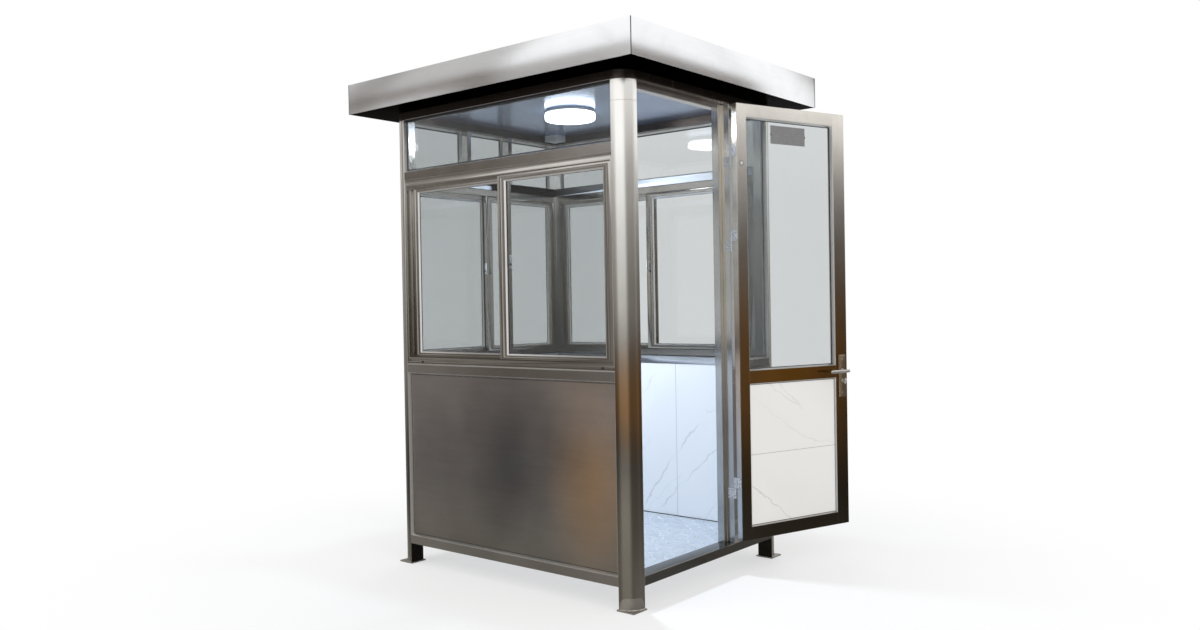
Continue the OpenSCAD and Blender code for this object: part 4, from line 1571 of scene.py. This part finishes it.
@dataclass
class WindowFittings(Assembly):
    """The hook latches on the meeting stiles and the weep holes in the front sill."""

    weep_r: float = 7 * MM
    weep_rise: float = 10 * MM
    weep_from: tuple[float, float] = (110 * MM, 69 * MM)

    def latches(self) -> Piece:
        """Builds the hook latches."""
        draft = Draft()
        for side in WINDOWED:
            place = self.site.walls[side]
            box = place.inside("window_latches", self.site.thickness)[0]
            deep = box.d1 - box.d0
            draft.block(place, box.grown(u0=1.5 * MM, u1=-1.5 * MM, z0=6 * MM, d1=-deep + 1.8 * MM))
            draft.lathe(place, (box.mid_u, box.d0, box.z1 - 16 * MM), Along.D,
                        ((6 * MM, 1 * MM), (6 * MM, deep - 2 * MM), (4.6 * MM, deep - 0.5 * MM)), 0, 20)
            arm = box.grown(u0=4.5 * MM, u1=-4.5 * MM, d0=3 * MM, d1=-2.2 * MM, z0=12 * MM, z1=-14 * MM)
            draft.block(place, arm)
            draft.block(place, box.grown(u0=2.5 * MM, u1=-2.5 * MM, d0=2.2 * MM, d1=-0.5 * MM,
                                         z1=-(box.z1 - box.z0) + 15 * MM), 1)
        return self.piece(draft, "hook_latches", Slot.DARK, [Finish.BRIGHT, Finish.DARK], 0.8 * MM,
                          ("window_latches",), segments=2)

    def keepers(self) -> Piece:
        """Builds the latches' hook keepers on the edges of the inner sashes' meeting stiles."""
        draft = Draft()
        for side in WINDOWED:
            place = self.site.walls[side]
            latch = place.inside("window_latches", self.site.thickness)[0]
            stile = max(place.boxes(f"{side.label}_sashes"), key=lambda b: b.d0)
            face, mid_d = stile.u1 + 2 * MM, (stile.d0 + stile.d1) / 2
            draft.block(place, Box(stile.u1, face, stile.d0 + 4 * MM, stile.d1 - 2 * MM, latch.z0, latch.z1))
            for z in (latch.z0 + 8 * MM, latch.z1 - 8 * MM):
                draft.lathe(place, (face, mid_d, z), Along.U,
                            mm((4.2, -0.2), (4.2, 1.2), (2.6, 2.2)), 0, 16)
            draft.block(place, Box(stile.u1, face + 3 * MM, mid_d - 5 * MM, mid_d + 5 * MM,
                                   latch.z0 + 22 * MM, latch.z1 - 16 * MM))
            draft.block(place, Box(face - 0.5 * MM, face + 5 * MM, mid_d - 7 * MM, mid_d + 3 * MM,
                                   latch.z0 + 13 * MM, latch.z0 + 24 * MM), 1)
        return self.piece(draft, "latch_keepers", Slot.DARK, [Finish.LATCH, Finish.RUBBER], 0.6 * MM,
                          segments=2)

    def weeps(self) -> Piece:
        """Builds the dark weep holes of the front window's sill."""
        place = self.site.walls[Side.FRONT]
        frame = place.box("front_window_frame")
        draft = Draft()
        for u in (frame.u0 + self.weep_from[0], frame.u1 - self.weep_from[1]):
            draft.lathe(place, (u, frame.d0, frame.z0 + self.weep_rise), Along.D,
                        ((self.weep_r, -0.1 * MM), (self.weep_r, 0.6 * MM)), 0, 16)
        return self.piece(draft, "sill_weep_holes", Slot.DARK, [Finish.RUBBER])

    def build(self) -> list[Piece]:
        """Builds the fittings and dresses the panes."""
        return [self.latches(), self.keepers(), self.weeps(), self.wear("sash_glass", Finish.GLASS)]


@dataclass
class FixedLights(Assembly):
    """The transom lights and the side light beside the door, with their beads."""

    head_strip: float = 12 * MM
    recess: float = 1 * MM
    inner_bead: float = 15 * MM

    def build(self) -> list[Piece]:
        """Builds the beads of every fixed pane."""
        draft, depth = Draft(), self.site.thickness
        for side in (*WINDOWED, Side.RIGHT):
            place = self.site.walls[side]
            for pane in place.inside("side_light_glass" if side is Side.RIGHT else "transom_glass", depth):
                Beading().lay(draft, place, pane, self.recess, pane.d0)
                Beading().lay(draft, place, pane, pane.d1 + self.inner_bead, pane.d1)
                strip = replace(pane, d0=2 * MM, d1=pane.d0 - 0.2 * MM, z0=pane.z1 - self.head_strip)
                draft.block(place, strip, 1)
        beads = self.piece(draft, "fixed_light_beads", Slot.FRAME, [Finish.BEAD, Finish.RUBBER])
        return [beads, self.wear("transom_glass", Finish.GLASS),
                self.wear("side_light_glass", Finish.GLASS)]


@dataclass
class BoxRoof(Assembly):
    """The overhanging roof: fascia, soffit and deck."""

    flange: float = 18 * MM
    flange_t: float = 2 * MM
    corner_ease: float = 0.8 * MM
    seam_r: float = 2.2 * MM
    seam_proud: float = 0.7 * MM
    seam_at: float = 0.32
    seam_wide: float = 28 * MM
    lap_high: float = 1.6 * MM
    lap_screws: int = 9

    def fascia(self) -> Piece:
        """Builds the folded fascia with its return flange on top."""
        lo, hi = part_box("fascia")
        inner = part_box("roof_deck")[0]
        back = self.seam_proud
        sheet = inner.x - lo.x - back
        draft = Draft()
        draft.ring(LEVEL, Box(lo.x + back, hi.x - back, 0, 0, lo.y + back, hi.y - back), (
            (0, lo.z), (0, hi.z), (self.flange, hi.z), (self.flange, hi.z - self.flange_t),
            (sheet, hi.z - self.flange_t), (sheet, lo.z)), level=0, upright=1)
        return self.piece(draft, "fascia_folded", Slot.FASCIA, [Finish.FASCIA_X, Finish.FASCIA_Y],
                          self.corner_ease, ("fascia",), segments=2)

    def seams(self) -> Piece:
        """Lays the ground weld seam down each corner of the fascia."""
        lo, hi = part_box("fascia")
        draft, radius, steps = Draft(), self.seam_r, 24
        profile = [(radius * (0.985 + 0.015 * math.sin(k * 2.1)), (hi.z - lo.z) * k / steps)
                   for k in range(steps + 1)]
        for x in (lo.x + radius, hi.x - radius):
            for y in (lo.y + radius, hi.y - radius):
                draft.lathe(UPRIGHT, (x, y, lo.z), Along.Z, profile, 0, 16)
        return self.piece(draft, "fascia_corner_seams", Slot.FASCIA, [Finish.SEAM])

    def deck(self) -> list[Piece]:
        """Dresses the deck with lapped seams, screws and a bead of sealant."""
        lo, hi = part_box("roof_deck")
        draft, spots = Draft(), []
        for x in (-self.seam_at, self.seam_at):
            draft.block(LEVEL, Box(x - self.seam_wide / 2, x + self.seam_wide / 2, hi.z - 0.5 * MM,
                                   hi.z + self.lap_high, lo.y + 2 * MM, hi.y - 2 * MM))
            for k in range(self.lap_screws):
                y = lo.y + (hi.y - lo.y) * (k + 0.5) / self.lap_screws
                spots.append((Vector((x, y, hi.z + self.lap_high)), Vector((0, 0, 1))))
        draft.ring(LEVEL, Box(lo.x, hi.x, 0, 0, lo.y, hi.y), (
            (0, hi.z), (0, hi.z + 7 * MM), (3 * MM, hi.z + 5 * MM), (7 * MM, hi.z + 1 * MM), (8 * MM, hi.z)),
            level=1, upright=1)
        laps = self.piece(draft, "roof_deck_laps", Slot.GALVANISED,
                          [Finish.GALVANISED, Finish.PLASTIC], 0.5 * MM)
        screws = self.screwed("roof_deck_screws", Body.ROOT, spots, 5 * MM, 2.4 * MM)
        return [self.wear("roof_deck", Finish.GALVANISED), laps, screws]

    def build(self) -> list[Piece]:
        """Builds the roof."""
        return [self.fascia(), self.seams(), self.wear("soffit", Finish.SOFFIT), *self.deck()]


@dataclass
class CeilingFittings(Assembly):
    """The ceiling sheet, the round lamp and the junction box."""

    base_high: float = 15 * MM
    edge_round: float = 7 * MM
    steps: int = 72
    lid: float = 6 * MM
    screw_in: float = 9 * MM

    def lamp(self) -> list[Piece]:
        """Builds the lamp's base and its opal diffuser."""
        lo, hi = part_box("ceiling_lamp")
        radius, centre = (hi.x - lo.x) / 2, (lo + hi) / 2
        foot, top = (centre.x, centre.y, lo.z), hi.z - lo.z
        base, shell = Draft(), Draft()
        split = top - self.base_high
        base.lathe(UPRIGHT, foot, Along.Z, (
            (radius - 3 * MM, top), (radius - 1 * MM, top - 1 * MM), (radius - 1 * MM, split + 2.2 * MM),
            (radius - 3 * MM, split + 1.4 * MM), (radius - 4 * MM, split)), steps=self.steps)
        curve = [(radius - self.edge_round * (1 - math.sin(a)), self.edge_round * (1 - math.cos(a)))
                 for a in (math.pi / 2 * k / 6 for k in range(7))]
        rim = ((radius, split - 1 * MM), (radius - 2 * MM, split))
        shell.lathe(UPRIGHT, foot, Along.Z, [(radius * 0.4, 0.0), *curve, *rim], steps=self.steps)
        return [self.piece(base, "ceiling_lamp_base", Slot.PLASTIC, [Finish.PLASTIC], 0.0,
                           ("ceiling_lamp",)),
                self.piece(shell, "ceiling_lamp_diffuser", Slot.LAMP, [Finish.LAMP], 0.0,
                           ("ceiling_lamp",))]

    def box(self) -> list[Piece]:
        """Builds the junction box with its lid and screws."""
        lo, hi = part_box("junction_box")
        draft = Draft()
        whole = Box(lo.x, hi.x, lo.z, hi.z, lo.y, hi.y)
        draft.block(LEVEL, whole.grown(u0=1 * MM, u1=-1 * MM, d0=self.lid + 0.6 * MM, z0=1 * MM, z1=-1 * MM))
        draft.block(LEVEL, replace(whole, d1=lo.z + self.lid))
        body = self.piece(draft, "junction_box_molded", Slot.PLASTIC, [Finish.PLASTIC], 2.0 * MM,
                          ("junction_box",), segments=3)
        spots = [(Vector((x, y, lo.z)), Vector((0, 0, -1)))
                 for x in (lo.x + self.screw_in, hi.x - self.screw_in)
                 for y in (lo.y + self.screw_in, hi.y - self.screw_in)]
        return [body, self.screwed("junction_box_screws", Body.ROOT, spots, 3 * MM, 0.8 * MM)]

    def build(self) -> list[Piece]:
        """Builds the fittings."""
        return [self.wear("ceiling", Finish.CEILING), *self.lamp(), *self.box()]


@dataclass
class Doorway(Assembly):
    """The jambs, the head and the fixed halves of the hinges."""

    ease: float = 1.5 * MM
    hinge_ease: float = 0.4 * MM

    def build(self) -> list[Piece]:
        """Builds the doorway."""
        place = self.site.walls[Side.RIGHT]
        steel = (Finish.UPRIGHT, Finish.STOP)
        stop = place.box("strike_jamb").d0

        def pick(centre: Vector, normal: Vector) -> int:
            """Gives the stops' outer faces their lighter finish."""
            depth = (place.matrix.inverted() @ centre).y
            return int(abs(depth - stop) < 1 * MM and abs(normal.x) > 0.7)

        made = [self.eased(node, Slot.FRAME, steel, self.ease, pick)
                for node in ("strike_jamb", "hinge_jamb")]
        made.append(self.eased("door_head", Slot.FRAME, [Finish.RAIL_Y], self.ease))
        made.append(self.eased("hinge_jamb_leaves", Slot.BRIGHT, [Finish.HINGE], self.hinge_ease))
        made.append(self.hinge_screws("hinge_jamb_screws", "hinge_jamb_leaves", place, -1,
                                      (0.1, 0.4, 0.25)))
        return made


@dataclass
class DoorLeaf(Assembly):
    """The half-glazed door leaf with its beads, lining and hinge halves."""

    ease: float = 1.2 * MM
    hinge_ease: float = 0.4 * MM
    end_deep: float = 2 * MM
    plug_in: float = 27 * MM
    plug_z: float = 1.95
    stud_places: tuple[tuple[float, float], ...] = ((-37 * MM, 33 * MM), (58 * MM, -8 * MM))

    def frame_piece(self, leaf: Box, glass: Box, panel: Box) -> Piece:
        """Builds the stiles and rails with their butt joints."""
        place, draft, lap = self.site.door, Draft(), 0.3 * MM
        fold = 0.6 * MM
        draft.block(place, Box(leaf.u0 + fold, glass.u0, leaf.d0, leaf.d1, leaf.z0, leaf.z1), 1)
        draft.block(place, Box(glass.u1, leaf.u1 - fold, leaf.d0, leaf.d1, leaf.z0, leaf.z1), 1)
        for u in (leaf.u0, leaf.u1 - self.end_deep):
            end = leaf.grown(d0=1.5 * MM, d1=-1.5 * MM, z0=1 * MM, z1=-1 * MM)
            draft.block(place, replace(end, u0=u, u1=u + self.end_deep), 2)
        for z0, z1 in ((glass.z1, leaf.z1), (panel.z1, glass.z0), (leaf.z0, panel.z0)):
            draft.block(place, Box(glass.u0, glass.u1, leaf.d0 + lap, leaf.d1 - lap, z0, z1), 0)
        draft.shift_faces(place.heading((0, -1, 0)), 3)
        return self.piece(draft, "door_frame_folded", Slot.FRAME,
                          [Finish.DOOR_U, Finish.DOOR_Z, Finish.DOOR_EDGE, Finish.DOOR_OUTER_U,
                           Finish.DOOR_OUTER_Z, Finish.DOOR_EDGE],
                          self.ease, ("door_frame",), body=Body.DOOR)

    def beads(self, leaf: Box, glass: Box, panel: Box, lining: Box) -> Piece:
        """Builds the beads of the glass, the panel and the lining."""
        place, draft, beading = self.site.door, Draft(), Beading(wide=9 * MM)
        beading.lay(draft, place, glass, leaf.d0, glass.d0)
        beading.lay(draft, place, glass, leaf.d1, glass.d1)
        beading.lay(draft, place, panel, leaf.d0, panel.d0)
        Beading(wide=6 * MM).lay(draft, place, lining, leaf.d1, lining.d1)
        return self.piece(draft, "door_beads", Slot.FRAME, [Finish.BEAD_DOOR, Finish.RUBBER],
                          body=Body.DOOR)

    def plate(self) -> list[Piece]:
        """Builds the blank plate on the glass, with its end notches and two studs."""
        place, box = self.site.door, self.site.door.box("glass_plate")
        draft = Draft()
        draft.block(place, box)
        for u in (box.u0, box.u1):
            draft.block(place, Box(u - 3 * MM, u + 3 * MM, box.d1 - 0.6 * MM, box.d1 + 0.2 * MM,
                                   box.mid_z - 5 * MM, box.mid_z + 5 * MM), 1)
        leaf = place.box("door_frame")
        plug = (leaf.u1 - self.plug_in, leaf.d1, self.plug_z)
        draft.lathe(place, plug, Along.D, mm((13, -0.3), (13, 0.8), (11, 1.2)), 0, 24)
        draft.lathe(place, plug, Along.D, mm((8, 0.2), (8, 1.5), (6, 1.9)), 2, 20)
        body = self.piece(draft, "glass_plate_blank", Slot.DARK,
                          [Finish.PLATE, Finish.RUBBER, Finish.LATCH], 0.5 * MM, ("glass_plate",),
                          body=Body.DOOR)
        spots = [(place.at((box.u1 if u < 0 else box.u0) + u, box.d1, (box.z1 if z < 0 else box.z0) + z),
                  place.heading((0, 1, 0))) for u, z in self.stud_places]
        return [body, self.screwed("glass_plate_studs", Body.DOOR, spots, 3.4 * MM, 1.2 * MM)]

    def build(self) -> list[Piece]:
        """Builds the leaf."""
        place = self.site.door
        leaf, glass, panel, lining = (place.box(n) for n in (
            "door_frame", "door_glass", "door_panel", "door_lining"))
        draft = Draft()
        joint = lining.mid_z
        draft.block(place, replace(lining, d0=lining.d1 - 1 * MM, d1=lining.d1 + 0.15 * MM,
                                   z0=joint - 1.1 * MM, z1=joint + 1.1 * MM))
        made = [self.frame_piece(leaf, glass, panel), self.beads(leaf, glass, panel, lining),
                self.piece(draft, "door_lining_joint", Slot.LINING, [Finish.JOINT], body=Body.DOOR),
                self.wear("door_glass", Finish.GLASS), self.wear("door_lining", Finish.MARBLE_DOOR),
                self.wear("door_panel", Finish.DOOR_PANEL),
                self.eased("hinge_door_leaves", Slot.BRIGHT, [Finish.HINGE], self.hinge_ease,
                           body=Body.DOOR), *self.plate()]
        made.append(self.hinge_screws("hinge_door_screws", "hinge_door_leaves", place, 1,
                                      (0.2, 0.8, 0.5), Body.DOOR))
        return made


@dataclass
class LockSet(Assembly):
    """The lock plates, the two curved lever grips and the thumb turn."""

    grip_wide: float = 7.98 * MM
    grip_thick: float = 5.0 * MM
    grip_bow: float = 4.2 * MM
    grip_back: float = 8 * MM
    grip_rise: float = 2 * MM
    grip_facets: int = 18
    steps: int = 20
    screw_drop: float = 23 * MM
    screw_rise: float = 21 * MM

    def plates(self) -> list[Piece]:
        """Builds the rounded plates and their screws."""
        place, draft, spots = self.site.door, Draft(), []
        for box in place.boxes("lock_plates"):
            draft.block(place, box)
            out = -1 if box.d0 < 0 else 1
            face = box.d0 if out < 0 else box.d1
            for z in (box.z1 - self.screw_drop, box.z0 + self.screw_rise):
                spots.append((place.at(box.mid_u, face, z), place.heading((0, out, 0))))
        body = self.piece(draft, "lock_plates_rounded", Slot.BRIGHT, [Finish.LOCK], 2.2 * MM,
                          ("lock_plates",), segments=3, body=Body.DOOR)
        return [body, self.screwed("lock_plate_screws", Body.DOOR, spots, 3.6 * MM, 1.0 * MM)]

    def lever(self) -> Piece:
        """Builds the spindle and both grips."""
        place, draft = self.site.door, Draft()
        whole, plates = place.box("lever_handle"), place.box("lock_plates")
        grip_r = (whole.z1 - whole.z0) / 2
        spindle_u = plates.mid_u
        grip_u0 = spindle_u - self.grip_back
        for end, face, out in ((whole.d0, plates.d0, -1), (whole.d1, plates.d1, 1)):
            root = abs(end - face) - grip_r
            draft.lathe(place, (spindle_u, face, whole.mid_z), Along.D, (
                (9.5 * MM, 0.2 * MM * out), (10.5 * MM, 1.2 * MM * out), (9.8 * MM, 2.6 * MM * out),
                (7.8 * MM, 3.4 * MM * out), (7.2 * MM, root * 0.5 * out), (7.6 * MM, root * out)), 0, 28)
            points = []
            for k in range(self.steps + 1):
                share = k / self.steps
                u = grip_u0 + (whole.u1 - grip_u0) * share
                bow = self.grip_bow * math.sin(math.pi * min(1.0, share * 1.1) * 0.5) ** 2
                ease = min(1.0, share * 6, (1 - share) * 9 + 0.25) ** 0.5
                d = face + out * (root + self.grip_rise - bow)
                for j in range(self.grip_facets):
                    turn = 2 * math.pi * j / self.grip_facets
                    points.append(place.at(u, d + math.cos(turn) * self.grip_thick * ease,
                                           whole.mid_z + math.sin(turn) * self.grip_wide * ease))
            draft.rings(points, self.grip_facets)
        return self.piece(draft, "lever_grips", Slot.BRIGHT, [Finish.BRIGHT], 0.0, ("lever_handle",),
                          body=Body.LEVER)

    def turn(self) -> Piece:
        """Builds the thumb turn and the lock cylinder's face outside."""
        place, draft = self.site.door, Draft()
        whole, plates = place.box("thumb_turn"), place.box("lock_plates")
        spindle_u, z = plates.mid_u, whole.mid_z
        knob_r = (whole.z1 - whole.z0) / 2
        knob_d = whole.d1 - knob_r
        draft.lathe(place, (spindle_u, plates.d1, z), Along.D, (
            (9 * MM, 0.2 * MM), (9 * MM, 1.6 * MM), (5 * MM, 2.4 * MM), (5 * MM, knob_d - plates.d1)), 0, 24)
        draft.lathe(place, (spindle_u, knob_d, z), Along.U, (
            (knob_r - 3 * MM, -4.4 * MM), (knob_r - 1 * MM, -3.4 * MM), (knob_r, -1.5 * MM),
            (knob_r, 1.5 * MM), (knob_r - 1 * MM, 3.4 * MM), (knob_r - 3 * MM, 4.4 * MM)), 0, 32, 0.8)
        draft.lathe(place, (spindle_u, plates.d0, z), Along.D, (
            (8.2 * MM, -0.2 * MM), (8.2 * MM, -2.4 * MM), (7.4 * MM, -3.0 * MM)), 0, 28)
        draft.block(place, Box(spindle_u - 0.6 * MM, spindle_u + 0.6 * MM, whole.d0 - 0.05 * MM,
                               whole.d0 + 0.5 * MM, z - 4.5 * MM, z + 1.5 * MM), 1)
        return self.piece(draft, "thumb_turn_knob", Slot.BRIGHT, [Finish.BRIGHT, Finish.RUBBER], 0.0,
                          ("thumb_turn",), body=Body.TURN)

    def build(self) -> list[Piece]:
        """Builds the lock set."""
        return [*self.plates(), self.lever(), self.turn()]


# ---- Studio ----


@dataclass(frozen=True)
class Shade:
    """A soft darker band of the studio that steel mirrors: where it lies, how wide and how dark."""

    azimuth: float
    core: float
    edge: float
    depth: float
    top: float = 40.0
    foot: float = -60.0

    def direction(self) -> tuple[float, float, float]:
        """Returns the level direction of its middle."""
        turn = math.radians(self.azimuth)
        return (math.cos(turn), math.sin(turn), 0.0)


@dataclass(frozen=True)
class Softbox:
    """A large soft lamp."""

    name: str
    place: tuple[float, float, float]
    aim: tuple[float, float, float]
    size: tuple[float, float]
    power: float
    tone: Colour = WHITE

    def build(self) -> Piece:
        """Builds the lamp."""
        data = bpy.data.lights.new(self.name, "AREA")
        data.shape, (data.size, data.size_y) = "RECTANGLE", self.size
        data.energy, data.color = self.power, self.tone
        obj = bpy.data.objects.new(self.name, data)
        obj.location = self.place
        away = Vector(self.place) - Vector(self.aim)
        obj.rotation_euler = away.to_track_quat("Z", "Y").to_euler()
        obj.visible_camera = False
        obj.visible_transmission = False
        obj.visible_glossy = False
        bpy.context.scene.collection.objects.link(obj)
        return obj


@dataclass(frozen=True)
class Studio:
    """The pale floor, the white surroundings and the soft lamps."""

    level: float = 0.72
    floor_tone: Colour = (0.90, 0.90, 0.90)
    floor_least: float = 0.58
    shade_tone: Colour = (0.10, 0.075, 0.055)
    fade_from: float = 0.7
    fade_to: float = 2.9
    shades: tuple[Shade, ...] = (
        Shade(212, 16.5, 20, 0.53), Shade(212, 15, 17.5, 0.68, 9, 5), Shade(225.2, 1.6, 4.2, 0.4, 0),
        Shade(240, 6, 27, 0.68, 8.0), Shade(350, 20, 40, 0.78, 9), Shade(43, 16, 25, 0.85, 5),
        Shade(58, 1, 5, 0.12), Shade(99, 8, 21, 0.6), Shade(150, 12, 34, 0.7), Shade(186, 14, 20, 0.5),
    )

    def shades_group(self) -> Tree:
        """Builds the group that tells how bright the studio looks in a mirrored direction."""
        n, given, out = new_group("studio_shades", {}, ["Tone"])
        x, y, z = n.split(given["Vector"])
        flat = n.vector("NORMALIZE", n.xyz(x, y))[0]
        tone: object = 1.0
        for shade in self.shades:
            facing = n.vector("DOT_PRODUCT", flat, shade.direction())["Value"]
            edge, core, over, top, under, foot = (math.radians(a) for a in (
                shade.edge, shade.core, shade.top + 4, shade.top, shade.foot - 4, shade.foot))
            dark = n.span(facing, math.cos(edge), math.cos(core), 0.0, shade.depth)
            held = n.times(dark, n.span(z, math.sin(over), math.sin(top)),
                           n.span(z, math.sin(under), math.sin(foot)))
            tone = n.times(tone, n.math("SUBTRACT", 1.0, held))
        n.feed(out, {"Tone": tone})
        return n.tree

    def mirrored_tone(self, n: Nodes, toward: object, path: bpy.types.NodeOutputs,
                      shades: Tree) -> Socket:
        """Gives the colour of the surroundings: white, but shaded where a surface mirrors them.

        Args:
            n: The node helper of the world or the floor.
            toward: The direction that is looked in.
            path: The Light Path outputs.
            shades: The group from shades_group.

        Returns:
            The colour socket.
        """
        node = n.add("ShaderNodeGroup", {"Vector": toward}, node_tree=shades)
        warm = n.blend(node.outputs["Tone"], self.shade_tone, WHITE)
        return n.blend(self.mirrored(n, path), WHITE, warm)

    def mirrored(self, n: Nodes, path: bpy.types.NodeOutputs) -> Socket:
        """Returns 1 for a mirrored ray that didn't pass through glass."""
        return n.math("SUBTRACT", path["Is Glossy Ray"], path["Is Transmission Ray"], True)

    def seen(self, n: Nodes, path: bpy.types.NodeOutputs) -> Socket:
        """Returns 1 for a ray of the camera, a mirror or glass."""
        return n.highest(path["Is Camera Ray"], path["Is Glossy Ray"], path["Is Transmission Ray"])

    def world(self, shades: Tree) -> None:
        """Lights the surroundings: white to look at, softly shaded where steel mirrors them."""
        world = bpy.data.worlds.new("studio")
        world.use_nodes = True
        bpy.context.scene.world = world
        n = Nodes(world.node_tree)
        background = world.node_tree.nodes["Background"]
        toward = n.add("ShaderNodeTexCoord").outputs["Generated"]
        path = n.add("ShaderNodeLightPath").outputs
        grey = (self.level, self.level, self.level)
        seen = self.mirrored_tone(n, toward, path, shades)
        n.feed(background, {"Color": n.blend(self.seen(n, path), grey, seen)})

    def floor(self) -> Piece:
        """Builds the pale floor, which fades into the surroundings and lets steel mirror them."""
        bm = bmesh.new()
        bmesh.ops.create_circle(bm, cap_ends=True, radius=40.0, segments=96)
        material, n, shader, coords = start_material("studio_floor")
        away = n.vector("LENGTH", coords)["Value"]
        fade = n.span(away, self.fade_from, self.fade_to, self.floor_least, 1.0)
        n.feed(shader, {"Base Color": self.floor_tone, "Roughness": 0.9, "Specular IOR Level": 0.0})
        path = n.add("ShaderNodeLightPath").outputs
        strength = n.span(self.seen(n, path), 0.0, 1.0, self.level, 1.0, False)
        glow = n.add("ShaderNodeEmission", {"Color": WHITE, "Strength": strength})
        clear = n.add("ShaderNodeBsdfTransparent", {"Color": WHITE})
        pale = n.add("ShaderNodeMixShader", {0: self.mirrored(n, path), 1: glow.outputs[0],
                                             2: clear.outputs[0]})
        mixed = n.add("ShaderNodeMixShader", {0: fade, 1: shader.outputs[0], 2: pale.outputs[0]})
        n.feed(material.node_tree.nodes["Material Output"], {"Surface": mixed.outputs[0]})
        floor = to_object("studio_floor", bm, [material])
        return floor

    def lamps(self) -> list[Piece]:
        """Builds the lamps."""
        lamp_lo, lamp_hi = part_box("ceiling_lamp")
        under = ((lamp_lo.x + lamp_hi.x) / 2, (lamp_lo.y + lamp_hi.y) / 2, lamp_lo.z - 0.01)
        boxes = (
            Softbox("key", (-3.4, -5.0, 4.4), (0, 0, 1.2), (3.2, 3.2), 95),
            Softbox("fill", (5.6, -1.6, 4.2), (0.4, 0, 1.2), (2.6, 2.6), 60),
            Softbox("rim", (-3.0, 5.2, 4.6), (0, 0, 1.2), (3.0, 3.0), 70),
            Softbox("room_lamp", under, (under[0], under[1], 0.0), (0.2, 0.2), 32, (0.80, 0.90, 1.0)),
        )
        return [box.build() for box in boxes]

    def build(self) -> list[Piece]:
        """Builds the studio."""
        shades = self.shades_group()
        self.world(shades)
        return [self.floor(), *self.lamps()]


@dataclass(frozen=True)
class ViewCamera:
    """The camera, by its place, the way it looks and its lens."""

    place: tuple[float, float, float] = (3.313025, -3.900628, 1.297047)
    yaw: float = 39.5536
    pitch: float = -0.6389
    roll: float = -0.9867
    lens: float = 30.16

    def build(self) -> Piece:
        """Builds the camera and makes it the scene's."""
        data = bpy.data.cameras.new("view")
        data.lens, data.sensor_width, data.sensor_fit = self.lens, 36.0, "HORIZONTAL"
        yaw, pitch, roll = (math.radians(v) for v in (self.yaw, self.pitch, self.roll))
        ahead = Vector((-math.sin(yaw) * math.cos(pitch), math.cos(yaw) * math.cos(pitch), math.sin(pitch)))
        right = Vector((math.cos(yaw), math.sin(yaw), 0))
        up = right.cross(ahead)
        side = right * math.cos(roll) + up * math.sin(roll)
        top = up * math.cos(roll) - right * math.sin(roll)
        camera = bpy.data.objects.new("view", data)
        facing = Matrix((side, top, -ahead)).transposed().to_4x4()
        camera.matrix_world = Matrix.Translation(self.place) @ facing
        bpy.context.scene.collection.objects.link(camera)
        bpy.context.scene.camera = camera
        return camera


def main() -> None:
    """Loads the frame, dresses every sub-assembly and sets up the studio."""
    logging.basicConfig(level=logging.INFO, format="%(name)s: %(message)s")
    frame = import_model()
    site = Site.survey(frame)
    assemblies = [
        CornerPosts(site), FrameRails(site), TreadFloor(site), LowerWalls(site),
        *(SlidingWindow(site, side) for side in WINDOWED), WindowFittings(site), FixedLights(site),
        BoxRoof(site), CeilingFittings(site), Doorway(site), DoorLeaf(site), LockSet(site),
    ]
    for assembly in assemblies:
        for piece in assembly.build():
            LOG.info("%s: %s, %d faces", type(assembly).__name__, piece.name, len(piece.data.polygons))
    Studio().build()
    ViewCamera().build()
    bpy.context.scene.view_settings.view_transform = "Standard"


if __name__ == "__main__":
    main()
